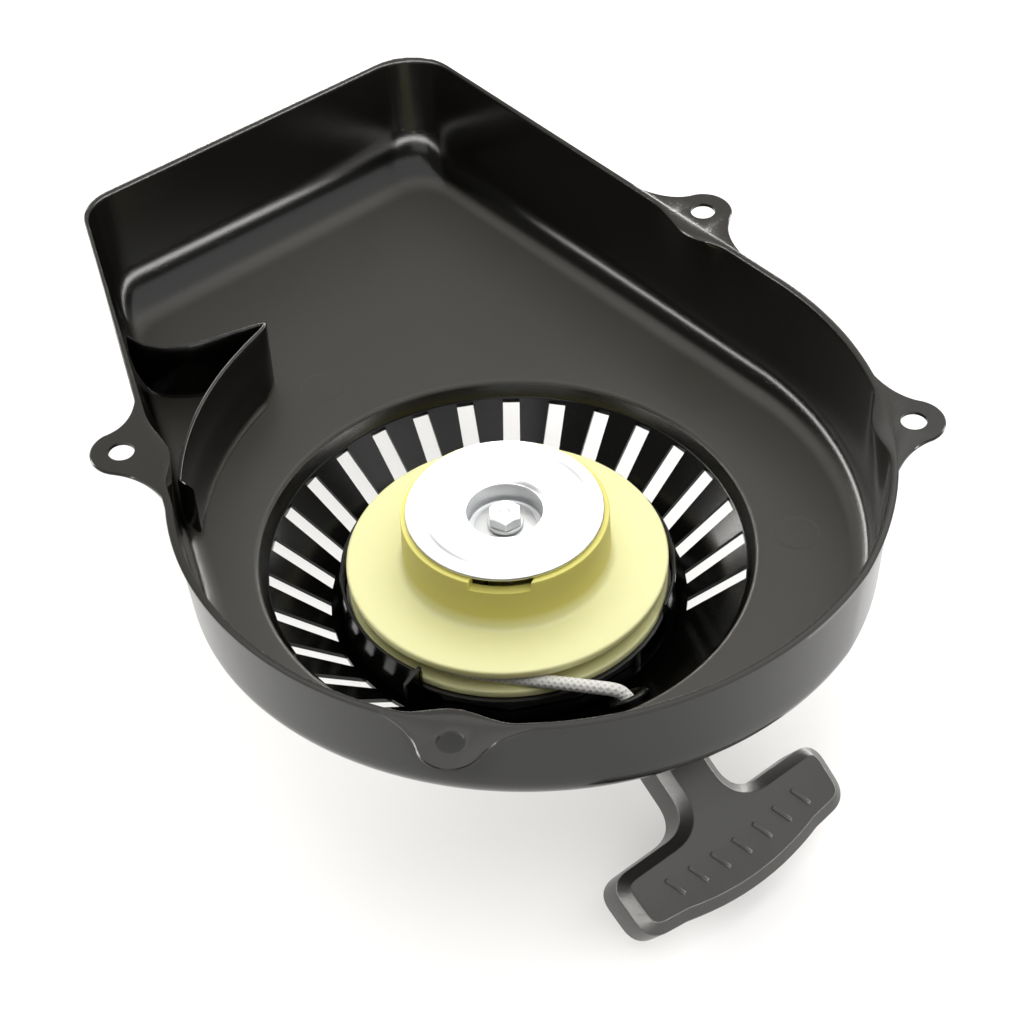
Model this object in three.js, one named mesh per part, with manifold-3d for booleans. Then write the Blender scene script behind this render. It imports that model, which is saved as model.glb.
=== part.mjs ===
// Recoil starter of a small engine: stamped fan housing, rope reel, pawls and pull handle.
// Millimetres, +Z up. Z is the crank axis, z = 0 the flat outer face of the starter bowl.
import * as THREE from 'three';
import { mergeVertices } from 'three/addons/utils/BufferGeometryUtils.js';
import Module from 'manifold-3d';

const wasm = await Module();
wasm.setup();

// ---------- driving dimensions ----------
const SHEET = 1.2;
const GAP = 0.3;

const RIM_Z = 66;
const FLOOR_Z = 25.5;
const RIM_RADIUS = 117.5;
const SCROLL_END_RADIUS = 101;
const RIM_FLANGE = 2.4;
const FAR_CORNER = { x: -23.4, y: 215.4, radius: 18.5 };
const SIDE_CORNER = { x: -137.2, y: 132.1, radius: 16 };
const LINE_TANGENT_ANGLE = 39.2;
const SCROLL_START_ANGLE = -30;
const SCROLL_END_ANGLE = -170;

const BOWL_LIP_RADIUS = 77.5;
const BOWL_TOP = { r: 74.6, z: 20.8 };
const BOWL_FOOT = { r: 52.6, z: SHEET };
const CENTRE_HOLE = 5.5;
const SLOT_COUNT = 21;
const SLOT_PITCH = 12;
const SLOT_FIRST_ANGLE = -9;
const SLOT_WIDTH = 5.5;
const SLOT_INNER = 56;
const SLOT_OUTER = 74;

const EARS = [
  { x: -114.0, y: 7.9, facing: 192 },
  { x: 70.0, y: 110.2, facing: 39.2 },
  { x: 123.6, y: 3.2, facing: 2 },
  { x: -17.3, y: -113.7, facing: -102 },
];
const EAR_RADIUS = 9.6;
const EAR_ARC = 62;
// Half the ear's root along the rim, and where its sides swell out between root and end.
const EAR_ROOT = 24;
const EAR_SWELL_AT = 12;
const EAR_SWELL = 2.6;
const EAR_TUCK = 0.5;
const EAR_OVERLAP = 1.6;
const EAR_HOLE = 4;
const EAR_DENT = 4;
const EAR_DENT_HALF_WIDTH = 18;

const FLANGE_RADIUS = 50;
const LOWER_FLANGE = { bottom: 10.8, top: 13.6 };
const UPPER_FLANGE = { bottom: 19, top: 22 };
const DRUM_RADIUS = 22;
const HUB_RADIUS = 32;
const HUB_WALL = 3.1;
const HUB_TOP = 40.3;
const PAWL_FLOOR = 27;
const WELL_OUTER = 15.2;
const WELL_INNER = 13.4;
const WELL_FLOOR = 31.5;
const REEL_BORE = 9.1;
const REEL_BOSS = 12.5;
const REEL_BOSS_Z = 4.8;
const REEL_KNOT = { radius: 30, azimuth: 120 };

const CASE_RADIUS = 52.3;
const CASE_TOP = 17.6;
const CASE_WINDOW = [-122, -24];

const ROPE_RADIUS = 2.1;
const WIND_OUTER = 43;
const ROPE_Z = 16.3;

const PAWL_PIVOT_RADIUS = 21;
const PAWL_AZIMUTHS = [-116.5, 63.5];
const PAWL_LENGTH = 13;
const PAWL_HALF_WIDTH = 3;
const PAWL_BLADE = 2.3;
const PAWL_BLADE_Z = 37.6;
const PIN_RADIUS = 1.8;

const PLATE_RADIUS = 30.4;
const PLATE_TOP = 41.8;
const PLATE_HOLE = 11.7;
const PLATE_GROOVE = 25.6;

const GUIDE = new THREE.Vector3(34.2, -54.6, 12);
const GUIDE_PITCH_DOWN = 49;
const HANDLE_AZIMUTH = -52;
const HANDLE_PITCH_DOWN = 34;
const STEM_START = 13;
const STEM_HALF_WIDTH = 9;
const BAR_INNER = 40;
const BAR_OUTER_MID = 65.5;
const BAR_OUTER_END = 59;
const BAR_HALF_LENGTH = 41;
const HANDLE_THICKNESS = 17;

// ---------- general helpers ----------
const rad = THREE.MathUtils.degToRad;
const polar = (radius, degrees) => [radius * Math.cos(rad(degrees)), radius * Math.sin(rad(degrees))];

function facesOut(geometry) {
  const index = geometry.index.array;
  const p = geometry.attributes.position;
  const a = new THREE.Vector3();
  const b = new THREE.Vector3();
  const c = new THREE.Vector3();
  let volume = 0;
  for (let i = 0; i < index.length; i += 3) {
    a.fromBufferAttribute(p, index[i]);
    b.fromBufferAttribute(p, index[i + 1]);
    c.fromBufferAttribute(p, index[i + 2]);
    volume += a.dot(b.cross(c));
  }
  if (volume < 0) {
    for (let i = 0; i < index.length; i += 3) {
      [index[i], index[i + 1]] = [index[i + 1], index[i]];
    }
  }
  return geometry;
}

function closed(geometry) {
  const bare = geometry.clone();
  bare.deleteAttribute('normal');
  bare.deleteAttribute('uv');
  return facesOut(mergeVertices(bare, 1e-4));
}

function solid(geometry) {
  const shape = closed(geometry);
  return new wasm.Manifold(new wasm.Mesh({
    numProp: 3,
    vertProperties: new Float32Array(shape.attributes.position.array),
    triVerts: new Uint32Array(shape.index.array),
  }));
}

function geometryOf(manifold) {
  const mesh = manifold.getMesh();
  const geometry = new THREE.BufferGeometry();
  geometry.setAttribute('position', new THREE.BufferAttribute(mesh.vertProperties, 3));
  geometry.setIndex(new THREE.BufferAttribute(mesh.triVerts, 1));
  return geometry;
}

function cut(geometry, ...tools) {
  return geometryOf(tools.reduce((body, tool) => body.subtract(solid(tool)), solid(geometry)));
}

function join(geometry, ...others) {
  return geometryOf(others.reduce((body, other) => body.add(solid(other)), solid(geometry)));
}

// A profile of [radius, z] pairs turned about Z.
function turned(profile, segments = 48) {
  const points = profile.map(([r, z]) => new THREE.Vector2(r, z));
  const first = profile[0];
  const last = profile[profile.length - 1];
  const onAxis = first[0] === 0 && last[0] === 0;
  if (!onAxis) points.push(points[0].clone());
  return new THREE.LatheGeometry(points, segments).rotateX(Math.PI / 2);
}

function plate(shape, bottom, height, curveSegments = 12) {
  const options = { depth: height, bevelEnabled: false, curveSegments };
  return new THREE.ExtrudeGeometry(shape, options).translate(0, 0, bottom);
}

function box(x, y, z, width, depth, height) {
  return new THREE.BoxGeometry(width, depth, height).translate(x, y, z);
}

function post(x, y, bottom, top, radius, segments = 20) {
  const height = top - bottom;
  const cylinder = new THREE.CylinderGeometry(radius, radius, height, segments);
  return cylinder.rotateX(Math.PI / 2).translate(x, y, bottom + height / 2);
}

function tube(curve, radius, steps, sides = 8) {
  const section = new THREE.Shape();
  for (let i = 0; i < sides; i += 1) {
    const [x, y] = polar(radius, (360 * i) / sides);
    if (i === 0) section.moveTo(x, y);
    else section.lineTo(x, y);
  }
  section.closePath();
  return new THREE.ExtrudeGeometry(section, { steps, extrudePath: curve });
}

function axisFrame(origin, outward, across) {
  const up = new THREE.Vector3().crossVectors(outward, across);
  return new THREE.Matrix4().makeBasis(outward, across, up).setPosition(origin);
}

// Unit direction of an axis that leaves Z outwards at an azimuth and points down by a pitch.
function downwardAxis(azimuth, pitch) {
  const [x, y] = polar(Math.cos(rad(pitch)), azimuth);
  return new THREE.Vector3(x, y, -Math.sin(rad(pitch)));
}

function sideways(azimuth) {
  return new THREE.Vector3(-Math.sin(rad(azimuth)), Math.cos(rad(azimuth)), 0);
}

// ---------- materials ----------
const finish = (color, roughness, metalness) => () =>
  new THREE.MeshStandardMaterial({ color, roughness, metalness });
const blackPaint = finish(0x2b2b2a, 0.35, 0.3);
const darkSteel = finish(0x3a3a38, 0.5, 0.6);
const zincPlate = finish(0xe6e8ea, 0.35, 0.7);
const steel = finish(0xb9bcbe, 0.4, 0.9);
const springSteel = finish(0x55585c, 0.35, 0.9);
const creamNylon = finish(0xf3eeb8, 0.45, 0);
const whiteNylon = finish(0xe9e7dc, 0.5, 0);
const ropeFibre = finish(0xe8e2cf, 0.9, 0);
const blackGrip = finish(0x2f2f31, 0.5, 0);

// ---------- fan housing ----------
// A closed outline in plan, read as a radius for any azimuth about the crank axis.
function radiusReader(path) {
  const points = path.getSpacedPoints(900).map((p) => ({
    angle: THREE.MathUtils.euclideanModulo(Math.atan2(p.y, p.x), 2 * Math.PI),
    radius: p.length(),
  }));
  points.sort((p, q) => p.angle - q.angle);
  return (degrees) => {
    const angle = THREE.MathUtils.euclideanModulo(rad(degrees), 2 * Math.PI);
    const next = points.findIndex((p) => p.angle > angle);
    if (next <= 0) return points[0].radius;
    const before = points[next - 1];
    const after = points[next];
    const share = (angle - before.angle) / (after.angle - before.angle);
    return THREE.MathUtils.lerp(before.radius, after.radius, share);
  };
}

function roundedCorner(path, from, corner, to, radius) {
  const back = from.clone().sub(corner).normalize();
  const ahead = to.clone().sub(corner).normalize();
  const reach = radius / Math.tan(back.angleTo(ahead) / 2);
  const start = corner.clone().addScaledVector(back, reach);
  const end = corner.clone().addScaledVector(ahead, reach);
  const bisector = back.clone().add(ahead).normalize();
  const centre = corner.clone().addScaledVector(bisector, Math.hypot(reach, radius));
  const startAngle = start.clone().sub(centre).angle();
  const endAngle = end.clone().sub(centre).angle();
  path.lineTo(start.x, start.y);
  path.absarc(centre.x, centre.y, radius, startAngle, endAngle, false);
}

// The plan outline: a round fan scroll with a corner drawn out over the cylinder.
function scrollOutline(inset, cornerInset) {
  const path = new THREE.Path();
  path.moveTo(...polar(RIM_RADIUS - inset(SCROLL_START_ANGLE), SCROLL_START_ANGLE));
  for (let angle = SCROLL_START_ANGLE + 4; angle < LINE_TANGENT_ANGLE; angle += 4) {
    path.lineTo(...polar(RIM_RADIUS - inset(angle), angle));
  }
  const tangent = new THREE.Vector2(...polar(RIM_RADIUS - inset(LINE_TANGENT_ANGLE), LINE_TANGENT_ANGLE));
  path.lineTo(tangent.x, tangent.y);
  const scrollEnd = new THREE.Vector2(...polar(SCROLL_END_RADIUS - inset(SCROLL_END_ANGLE), SCROLL_END_ANGLE));
  const far = new THREE.Vector2(FAR_CORNER.x, FAR_CORNER.y).add(cornerInset.far);
  const side = new THREE.Vector2(SIDE_CORNER.x, SIDE_CORNER.y).add(cornerInset.side);
  roundedCorner(path, tangent, far, side, cornerInset.radius ?? FAR_CORNER.radius);
  roundedCorner(path, far, side, scrollEnd, cornerInset.radius ?? SIDE_CORNER.radius);
  path.lineTo(scrollEnd.x, scrollEnd.y);
  const span = SCROLL_START_ANGLE - SCROLL_END_ANGLE;
  for (let turn = 4; turn < span; turn += 4) {
    const angle = SCROLL_END_ANGLE + turn;
    const radius = THREE.MathUtils.lerp(SCROLL_END_RADIUS, RIM_RADIUS, turn / span);
    path.lineTo(...polar(radius - inset(angle), angle));
  }
  path.closePath();
  return path;
}

const rimRadius = radiusReader(scrollOutline(() => 0, {
  far: new THREE.Vector2(0, 0),
  side: new THREE.Vector2(0, 0),
}));

// Where the flat floor ends and the sweep up into the wall begins.
const floorInset = (degrees) => 16 - 4 * Math.cos(2 * rad(degrees + 8));
const floorRadius = radiusReader(scrollOutline(floorInset, {
  far: new THREE.Vector2(1.6, -29.6),
  side: new THREE.Vector2(17, -20),
  radius: 12,
}));

function angularDistance(a, b) {
  return Math.abs(THREE.MathUtils.euclideanModulo(a - b + 180, 360) - 180);
}

// The wall is dented inwards beside each ear, to clear the head of the ear's bolt.
function dentAt(degrees) {
  return EARS.reduce((depth, ear) => {
    const azimuth = THREE.MathUtils.radToDeg(Math.atan2(ear.y, ear.x));
    const along = rad(angularDistance(degrees, azimuth)) * Math.hypot(ear.x, ear.y);
    if (along > EAR_DENT_HALF_WIDTH) return depth;
    return depth + EAR_DENT * Math.cos((Math.PI / 2) * (along / EAR_DENT_HALF_WIDTH)) ** 2;
  }, 0);
}

function wallProfile(degrees) {
  const foot = floorRadius(degrees);
  const wallTop = rimRadius(degrees) - RIM_FLANGE;
  const height = RIM_Z - SHEET - FLOOR_Z;
  const width = wallTop - foot;
  const bend = 0.78 * width;
  const draft = Math.atan((width - 0.8 * bend) / height);
  const steps = 5;
  const profile = [];
  for (let i = 0; i <= steps; i += 1) {
    const turn = ((Math.PI / 2 - draft) * i) / steps;
    profile.push([foot + bend * Math.sin(turn), FLOOR_Z + bend * (1 - Math.cos(turn))]);
  }
  profile.push([wallTop - dentAt(degrees), RIM_Z - SHEET]);
  return profile;
}

// Inner face from the centre hole to the rim, then the outer face back again.
function housingProfile(degrees) {
  const inside = [
    [CENTRE_HOLE, SHEET],
    [BOWL_FOOT.r, BOWL_FOOT.z],
    [BOWL_TOP.r, BOWL_TOP.z],
    [BOWL_TOP.r + 0.9, FLOOR_Z - 1.5],
    [BOWL_LIP_RADIUS, FLOOR_Z],
    ...wallProfile(degrees),
  ];
  const outside = inside.map(([r, z], i) => {
    const [r0, z0] = inside[Math.max(i - 1, 0)];
    const [r1, z1] = inside[Math.min(i + 1, inside.length - 1)];
    const length = Math.hypot(r1 - r0, z1 - z0);
    return [r + (SHEET * (z1 - z0)) / length, z - (SHEET * (r1 - r0)) / length];
  });
  outside[0] = [CENTRE_HOLE, 0];
  outside[1] = [BOWL_FOOT.r + 0.45, 0];
  const wallTop = inside[inside.length - 1][0];
  outside[outside.length - 1] = [wallTop + SHEET, RIM_Z - SHEET];
  const rim = rimRadius(degrees);
  const flange = [[wallTop, RIM_Z], [rim, RIM_Z], [rim, RIM_Z - SHEET]];
  return [...inside, ...flange, ...outside.reverse()];
}

function housingAngles() {
  const angles = new Set();
  for (let angle = 0; angle < 360; angle += 6) angles.add(angle);
  const finer = (centre, halfSpan, step) => {
    for (let d = -halfSpan; d <= halfSpan; d += step) {
      angles.add(THREE.MathUtils.euclideanModulo(Math.round((centre + d) * 10) / 10, 360));
    }
  };
  [FAR_CORNER, SIDE_CORNER].forEach(({ x, y }) => {
    finer(THREE.MathUtils.radToDeg(Math.atan2(y, x)), 6, 1.5);
  });
  EARS.forEach(({ x, y }) => finer(THREE.MathUtils.radToDeg(Math.atan2(y, x)), 7, 2));
  const sorted = [...angles].sort((a, b) => a - b);
  return sorted.filter((angle, i) => i === 0 || angle - sorted[i - 1] > 0.8);
}

function sheetShell(profileAt, angles) {
  const positions = [];
  const index = [];
  const rows = profileAt(angles[0]).length;
  angles.forEach((angle, column) => {
    profileAt(angle).forEach(([r, z]) => positions.push(...polar(r, angle), z));
    const next = (column + 1) % angles.length;
    for (let row = 0; row < rows; row += 1) {
      const above = (row + 1) % rows;
      const a = column * rows + row;
      const b = next * rows + row;
      const c = next * rows + above;
      const d = column * rows + above;
      index.push(a, b, c, a, c, d);
    }
  });
  const geometry = new THREE.BufferGeometry();
  geometry.setAttribute('position', new THREE.Float32BufferAttribute(positions, 3));
  geometry.setIndex(index);
  return geometry;
}

// A flat ear: a round end about the bolt hole, its sides sweeping out into the rim.
function earPlate({ x, y, facing }) {
  const azimuth = THREE.MathUtils.radToDeg(Math.atan2(y, x));
  const onRim = (along, inset) => {
    const angle = azimuth + THREE.MathUtils.radToDeg(along / Math.hypot(x, y));
    return polar(rimRadius(angle) - inset, angle);
  };
  const [startX, startY] = polar(EAR_RADIUS, facing - EAR_ARC);
  const shape = new THREE.Shape();
  shape.moveTo(...onRim(-EAR_ROOT, EAR_TUCK));
  shape.quadraticCurveTo(...onRim(-EAR_SWELL_AT, -EAR_SWELL), x + startX, y + startY);
  shape.absarc(x, y, EAR_RADIUS, rad(facing - EAR_ARC), rad(facing + EAR_ARC), false);
  shape.quadraticCurveTo(...onRim(EAR_SWELL_AT, -EAR_SWELL), ...onRim(EAR_ROOT, EAR_TUCK));
  for (let along = EAR_ROOT; along >= -EAR_ROOT; along -= 4) {
    shape.lineTo(...onRim(along, EAR_OVERLAP));
  }
  shape.closePath();
  return plate(shape, RIM_Z - SHEET, SHEET, 6);
}

function slotTool(index) {
  const angle = SLOT_FIRST_ANGLE + SLOT_PITCH * index;
  const length = SLOT_OUTER - SLOT_INNER;
  return box((SLOT_OUTER + SLOT_INNER) / 2, 0, 12, length, SLOT_WIDTH, 30).rotateZ(rad(angle));
}

const guideAzimuth = THREE.MathUtils.radToDeg(Math.atan2(GUIDE.y, GUIDE.x));
const guideAxis = downwardAxis(guideAzimuth, GUIDE_PITCH_DOWN);
const guideFrame = axisFrame(GUIDE, guideAxis, sideways(guideAzimuth));

function fanHousing() {
  const shell = sheetShell(housingProfile, housingAngles());
  const crown = turned([[0, 0], [CENTRE_HOLE + 4, 0], [CENTRE_HOLE + 4, SHEET], [0, SHEET]], 24);
  const whole = join(shell, crown, ...EARS.map(earPlate));
  const slots = Array.from({ length: SLOT_COUNT }, (_, i) => slotTool(i));
  const bolts = EARS.map(({ x, y }) => post(x, y, RIM_Z - 6, RIM_Z + 3, EAR_HOLE, 24));
  const guideHole = new THREE.CylinderGeometry(5.7, 5.7, 12, 24).rotateZ(Math.PI / 2);
  return cut(whole, ...slots, ...bolts, guideHole.applyMatrix4(guideFrame));
}

// ---------- air guide, a bent sheet that closes the fan scroll ----------
const AIR_GUIDE_TOP = 52;
const AIR_GUIDE_FOOT = FLOOR_Z + GAP;

function airGuide() {
  const inner = [
    new THREE.Vector2(-119.6, 84.6),
    new THREE.Vector2(-113, 78.6),
    new THREE.Vector2(-104, 77),
    new THREE.Vector2(-92, 79),
    new THREE.Vector2(-73.9, 83.4),
  ];
  const shape = new THREE.Shape();
  shape.moveTo(inner[0].x, inner[0].y);
  shape.splineThru(inner.slice(1));
  const scrollPoint = (angle, offset) => {
    const share = (angle - 133) / 45;
    return polar(THREE.MathUtils.lerp(109, 97.5, share ** 0.8) + offset, angle);
  };
  for (let angle = 133; angle <= 178; angle += 5) shape.lineTo(...scrollPoint(angle, 0));
  for (let angle = 178; angle >= 138; angle -= 5) shape.lineTo(...scrollPoint(angle, SHEET));
  shape.lineTo(-78.5, 80.4);
  const outer = inner.slice(0, 4).map((p) => new THREE.Vector2(p.x + 0.4, p.y - SHEET)).reverse();
  shape.splineThru(outer);
  shape.closePath();
  return cut(plate(shape, AIR_GUIDE_FOOT, AIR_GUIDE_TOP - AIR_GUIDE_FOOT, 5), wallClearance());
}

// Everything outside the housing's inner wall, grown inwards by the gap.
function wallClearance() {
  const clearance = 2 * GAP;
  return sheetShell((degrees) => {
    const wall = wallProfile(degrees).map(([r, z]) => [r - clearance, z + clearance / 2]);
    const beyond = rimRadius(degrees) + 10;
    return [[beyond, FLOOR_Z - 5], [wall[0][0], FLOOR_Z - 5], ...wall, [beyond, RIM_Z]];
  }, housingAngles());
}

// ---------- reel case, spring and centre post ----------
function reelCase() {
  const cup = turned([
    [5.5, SHEET + GAP], [CASE_RADIUS, SHEET + GAP], [CASE_RADIUS, CASE_TOP],
    [CASE_RADIUS - 1, CASE_TOP], [CASE_RADIUS - 1, 2 * SHEET + GAP], [5.5, 2 * SHEET + GAP],
  ], 48);
  const [from, to] = CASE_WINDOW;
  const window = new THREE.Shape();
  window.moveTo(...polar(CASE_RADIUS - 3, from));
  for (let angle = from; angle <= to; angle += 7) window.lineTo(...polar(CASE_RADIUS + 3, angle));
  for (let angle = to; angle >= from; angle -= 7) window.lineTo(...polar(CASE_RADIUS - 3, angle));
  window.closePath();
  const opened = cut(cup, plate(window, 4, 20));
  const tab = box(CASE_RADIUS + 3, 0.2, 14.3, 7, SHEET, 9).rotateZ(rad(from - 1));
  return join(opened, tab);
}

function centrePost() {
  return turned([
    [0, 3], [9.5, 3], [9.5, 4.4], [7, 4.4], [7, 32.1], [2.9, 32.1], [2.9, 6], [0, 6],
  ], 32);
}

const SPRING = { inner: 14, outer: 48, turns: 7, thickness: 0.6, bottom: 3.1, top: 9 };

function recoilSpring() {
  const steps = SPRING.turns * 14;
  const at = (i, offset) => {
    const radius = THREE.MathUtils.lerp(SPRING.inner, SPRING.outer, i / steps) + offset;
    return polar(radius, (360 * SPRING.turns * i) / steps - 40);
  };
  const shape = new THREE.Shape();
  shape.moveTo(...at(0, 0));
  for (let i = 1; i <= steps; i += 1) shape.lineTo(...at(i, 0));
  for (let i = steps; i >= 0; i -= 1) shape.lineTo(...at(i, SPRING.thickness));
  shape.closePath();
  return plate(shape, SPRING.bottom, SPRING.top - SPRING.bottom);
}

function springAnchor() {
  const [x, y] = polar(SPRING.outer + 1.9, -40);
  return post(x, y, 3, 9, 0.8, 12);
}

function springCover() {
  return turned([[13.2, 9.4], [50.8, 9.4], [50.8, 10.1], [13.2, 10.1]], 48);
}

// ---------- reel ----------
function reel() {
  const body = turned([
    [REEL_BORE, REEL_BOSS_Z], [REEL_BOSS, REEL_BOSS_Z], [REEL_BOSS, LOWER_FLANGE.bottom],
    [FLANGE_RADIUS, LOWER_FLANGE.bottom], [FLANGE_RADIUS, LOWER_FLANGE.top],
    [DRUM_RADIUS, LOWER_FLANGE.top], [DRUM_RADIUS, UPPER_FLANGE.bottom],
    [FLANGE_RADIUS, UPPER_FLANGE.bottom], [FLANGE_RADIUS, UPPER_FLANGE.top],
    [HUB_RADIUS + 0.3, UPPER_FLANGE.top], [HUB_RADIUS, HUB_TOP],
    [HUB_RADIUS - HUB_WALL, HUB_TOP], [HUB_RADIUS - HUB_WALL, PAWL_FLOOR],
    [WELL_OUTER, PAWL_FLOOR], [WELL_OUTER, HUB_TOP - 0.4], [WELL_INNER, HUB_TOP - 0.4],
    [WELL_INNER, WELL_FLOOR], [REEL_BORE, WELL_FLOOR],
  ], 56);
  const pawlWindows = PAWL_AZIMUTHS.map((azimuth) => (
    box(27.5, 11.2, PAWL_BLADE_Z + 3.6, 15, 17.5, 8).rotateZ(rad(azimuth))
  ));
  const notch = box(FLANGE_RADIUS, 0, 21, 3.6, 3.2, 6).rotateZ(rad(69.5));
  const [knotX, knotY] = polar(REEL_KNOT.radius, REEL_KNOT.azimuth);
  const knotPocket = post(knotX, knotY, LOWER_FLANGE.bottom - 1, LOWER_FLANGE.top + 1, 4.4, 20);
  return cut(body, ...pawlWindows, notch, knotPocket);
}

function ropeWinding() {
  const inner = DRUM_RADIUS + GAP;
  const low = LOWER_FLANGE.top + GAP;
  const high = UPPER_FLANGE.bottom - GAP;
  return turned([
    [inner, low], [WIND_OUTER - 1.5, low], [WIND_OUTER, low + 1.4],
    [WIND_OUTER, high - 1.4], [WIND_OUTER - 1.5, high], [inner, high],
  ], 48);
}

function anchorKnot() {
  const [x, y] = polar(REEL_KNOT.radius, REEL_KNOT.azimuth);
  const knot = new THREE.SphereGeometry(1, 12, 8).scale(3.8, 3.8, 1.1);
  return knot.translate(x, y, (LOWER_FLANGE.bottom + LOWER_FLANGE.top) / 2);
}

function pawl(azimuth) {
  const arm = new THREE.Shape();
  arm.absarc(0, 0, 3.6, Math.PI, 2 * Math.PI, false);
  arm.quadraticCurveTo(4.6, 6, PAWL_HALF_WIDTH + 1, PAWL_LENGTH);
  arm.lineTo(1.2, PAWL_LENGTH + 1.5);
  arm.lineTo(-PAWL_HALF_WIDTH + 0.6, PAWL_LENGTH - 4);
  arm.closePath();
  arm.holes.push(new THREE.Path().absarc(0, 0, PIN_RADIUS + GAP, 0, 2 * Math.PI, true));
  const blade = plate(arm, PAWL_BLADE_Z, PAWL_BLADE, 8);
  const collar = turned([
    [PIN_RADIUS + GAP, 32], [3.5, 32], [3.5, PAWL_BLADE_Z + 1], [PIN_RADIUS + GAP, PAWL_BLADE_Z + 1],
  ], 24);
  return join(blade, collar).translate(PAWL_PIVOT_RADIUS, 0, 0).rotateZ(rad(azimuth));
}

function pawlPin(azimuth) {
  return post(...polar(PAWL_PIVOT_RADIUS, azimuth), PAWL_FLOOR + GAP, 39.9, PIN_RADIUS, 20);
}

function pawlSpring(azimuth) {
  const points = [];
  for (let turn = 0; turn <= 540; turn += 45) {
    const [x, y] = polar(2.9, turn);
    points.push(new THREE.Vector3(x, y, 28.3 + (turn / 540) * 2.4));
  }
  points.push(new THREE.Vector3(-4.2, 4, 30.9));
  points.push(new THREE.Vector3(-4.6, 9, 31));
  const curve = new THREE.CatmullRomCurve3(points);
  const wire = tube(curve, 0.4, 40, 6).translate(PAWL_PIVOT_RADIUS, 0, 0);
  return wire.rotateZ(rad(azimuth));
}

// ---------- ratchet plate, bolt and washers ----------
function guidePlate() {
  const disc = turned([
    [3.6, 32.4], [12.9, 32.4], [12.9, 40.6], [PLATE_RADIUS, 40.6],
    [PLATE_RADIUS, PLATE_TOP], [PLATE_GROOVE + 0.8, PLATE_TOP], [PLATE_GROOVE, PLATE_TOP - 0.4],
    [PLATE_GROOVE - 0.8, PLATE_TOP], [PLATE_HOLE + 0.9, PLATE_TOP], [PLATE_HOLE, PLATE_TOP - 0.9],
    [PLATE_HOLE, 33.6], [3.6, 33.6],
  ], 48);
  const lugs = PAWL_AZIMUTHS.map((azimuth) => (
    post(...polar(17, azimuth + 48), 34, 41, 1.2, 12)
  ));
  return join(disc, ...lugs);
}

function brakeWasher() {
  return turned([[3, 33.9], [9.6, 33.9], [9.6, 34.5], [3, 35.1]], 32);
}

function lockWasher() {
  return turned([[3, 35.4], [5.6, 35.4], [5.6, 36.4], [3, 36.4]], 32);
}

function centreBolt() {
  const shank = post(0, 0, 8, 37.5, 2.6, 20);
  const head = post(0, 0, 36.7, 40.2, 5.48, 6);
  const chamfer = turned([[0, 36], [6, 36], [6, 39.4], [4.4, 40.3], [0, 40.3]], 24);
  const trimmed = geometryOf(solid(head).intersect(solid(chamfer)));
  return join(shank, trimmed);
}

// ---------- rope guide, rope and handle ----------
function ropeGuide() {
  const eyelet = turned([
    [3.5, 2.9], [3.5, -0.8], [4.1, -1.8], [5.1, -2.2], [6.3, -2], [6.9, -1.4], [6.8, -0.7],
    [5.2, -0.6], [5.2, 1.9], [7.4, 1.9], [7.4, 2.9],
  ], 20);
  return eyelet.rotateY(Math.PI / 2).applyMatrix4(guideFrame);
}

const handleAxis = downwardAxis(HANDLE_AZIMUTH, HANDLE_PITCH_DOWN);
const handleFrame = axisFrame(GUIDE, handleAxis, sideways(HANDLE_AZIMUTH));
const alongHandle = (distance) => GUIDE.clone().addScaledVector(handleAxis, distance);

function ropeLead() {
  const windRadius = WIND_OUTER + ROPE_RADIUS + GAP;
  const reach = Math.hypot(GUIDE.x, GUIDE.y);
  const leave = guideAzimuth - THREE.MathUtils.radToDeg(Math.acos(windRadius / reach));
  const start = new THREE.Vector3(...polar(windRadius, leave), ROPE_Z);
  const mouth = new THREE.Vector3(GUIDE.x, GUIDE.y, ROPE_Z);
  const straightEnd = start.clone().lerp(mouth, 0.8);
  const route = new THREE.CurvePath();
  route.add(new THREE.LineCurve3(start, straightEnd));
  route.add(new THREE.CubicBezierCurve3(
    straightEnd,
    start.clone().lerp(mouth, 0.92),
    alongHandle(-4),
    alongHandle(0.4),
  ));
  return tube(route, ROPE_RADIUS, 24);
}

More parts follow.
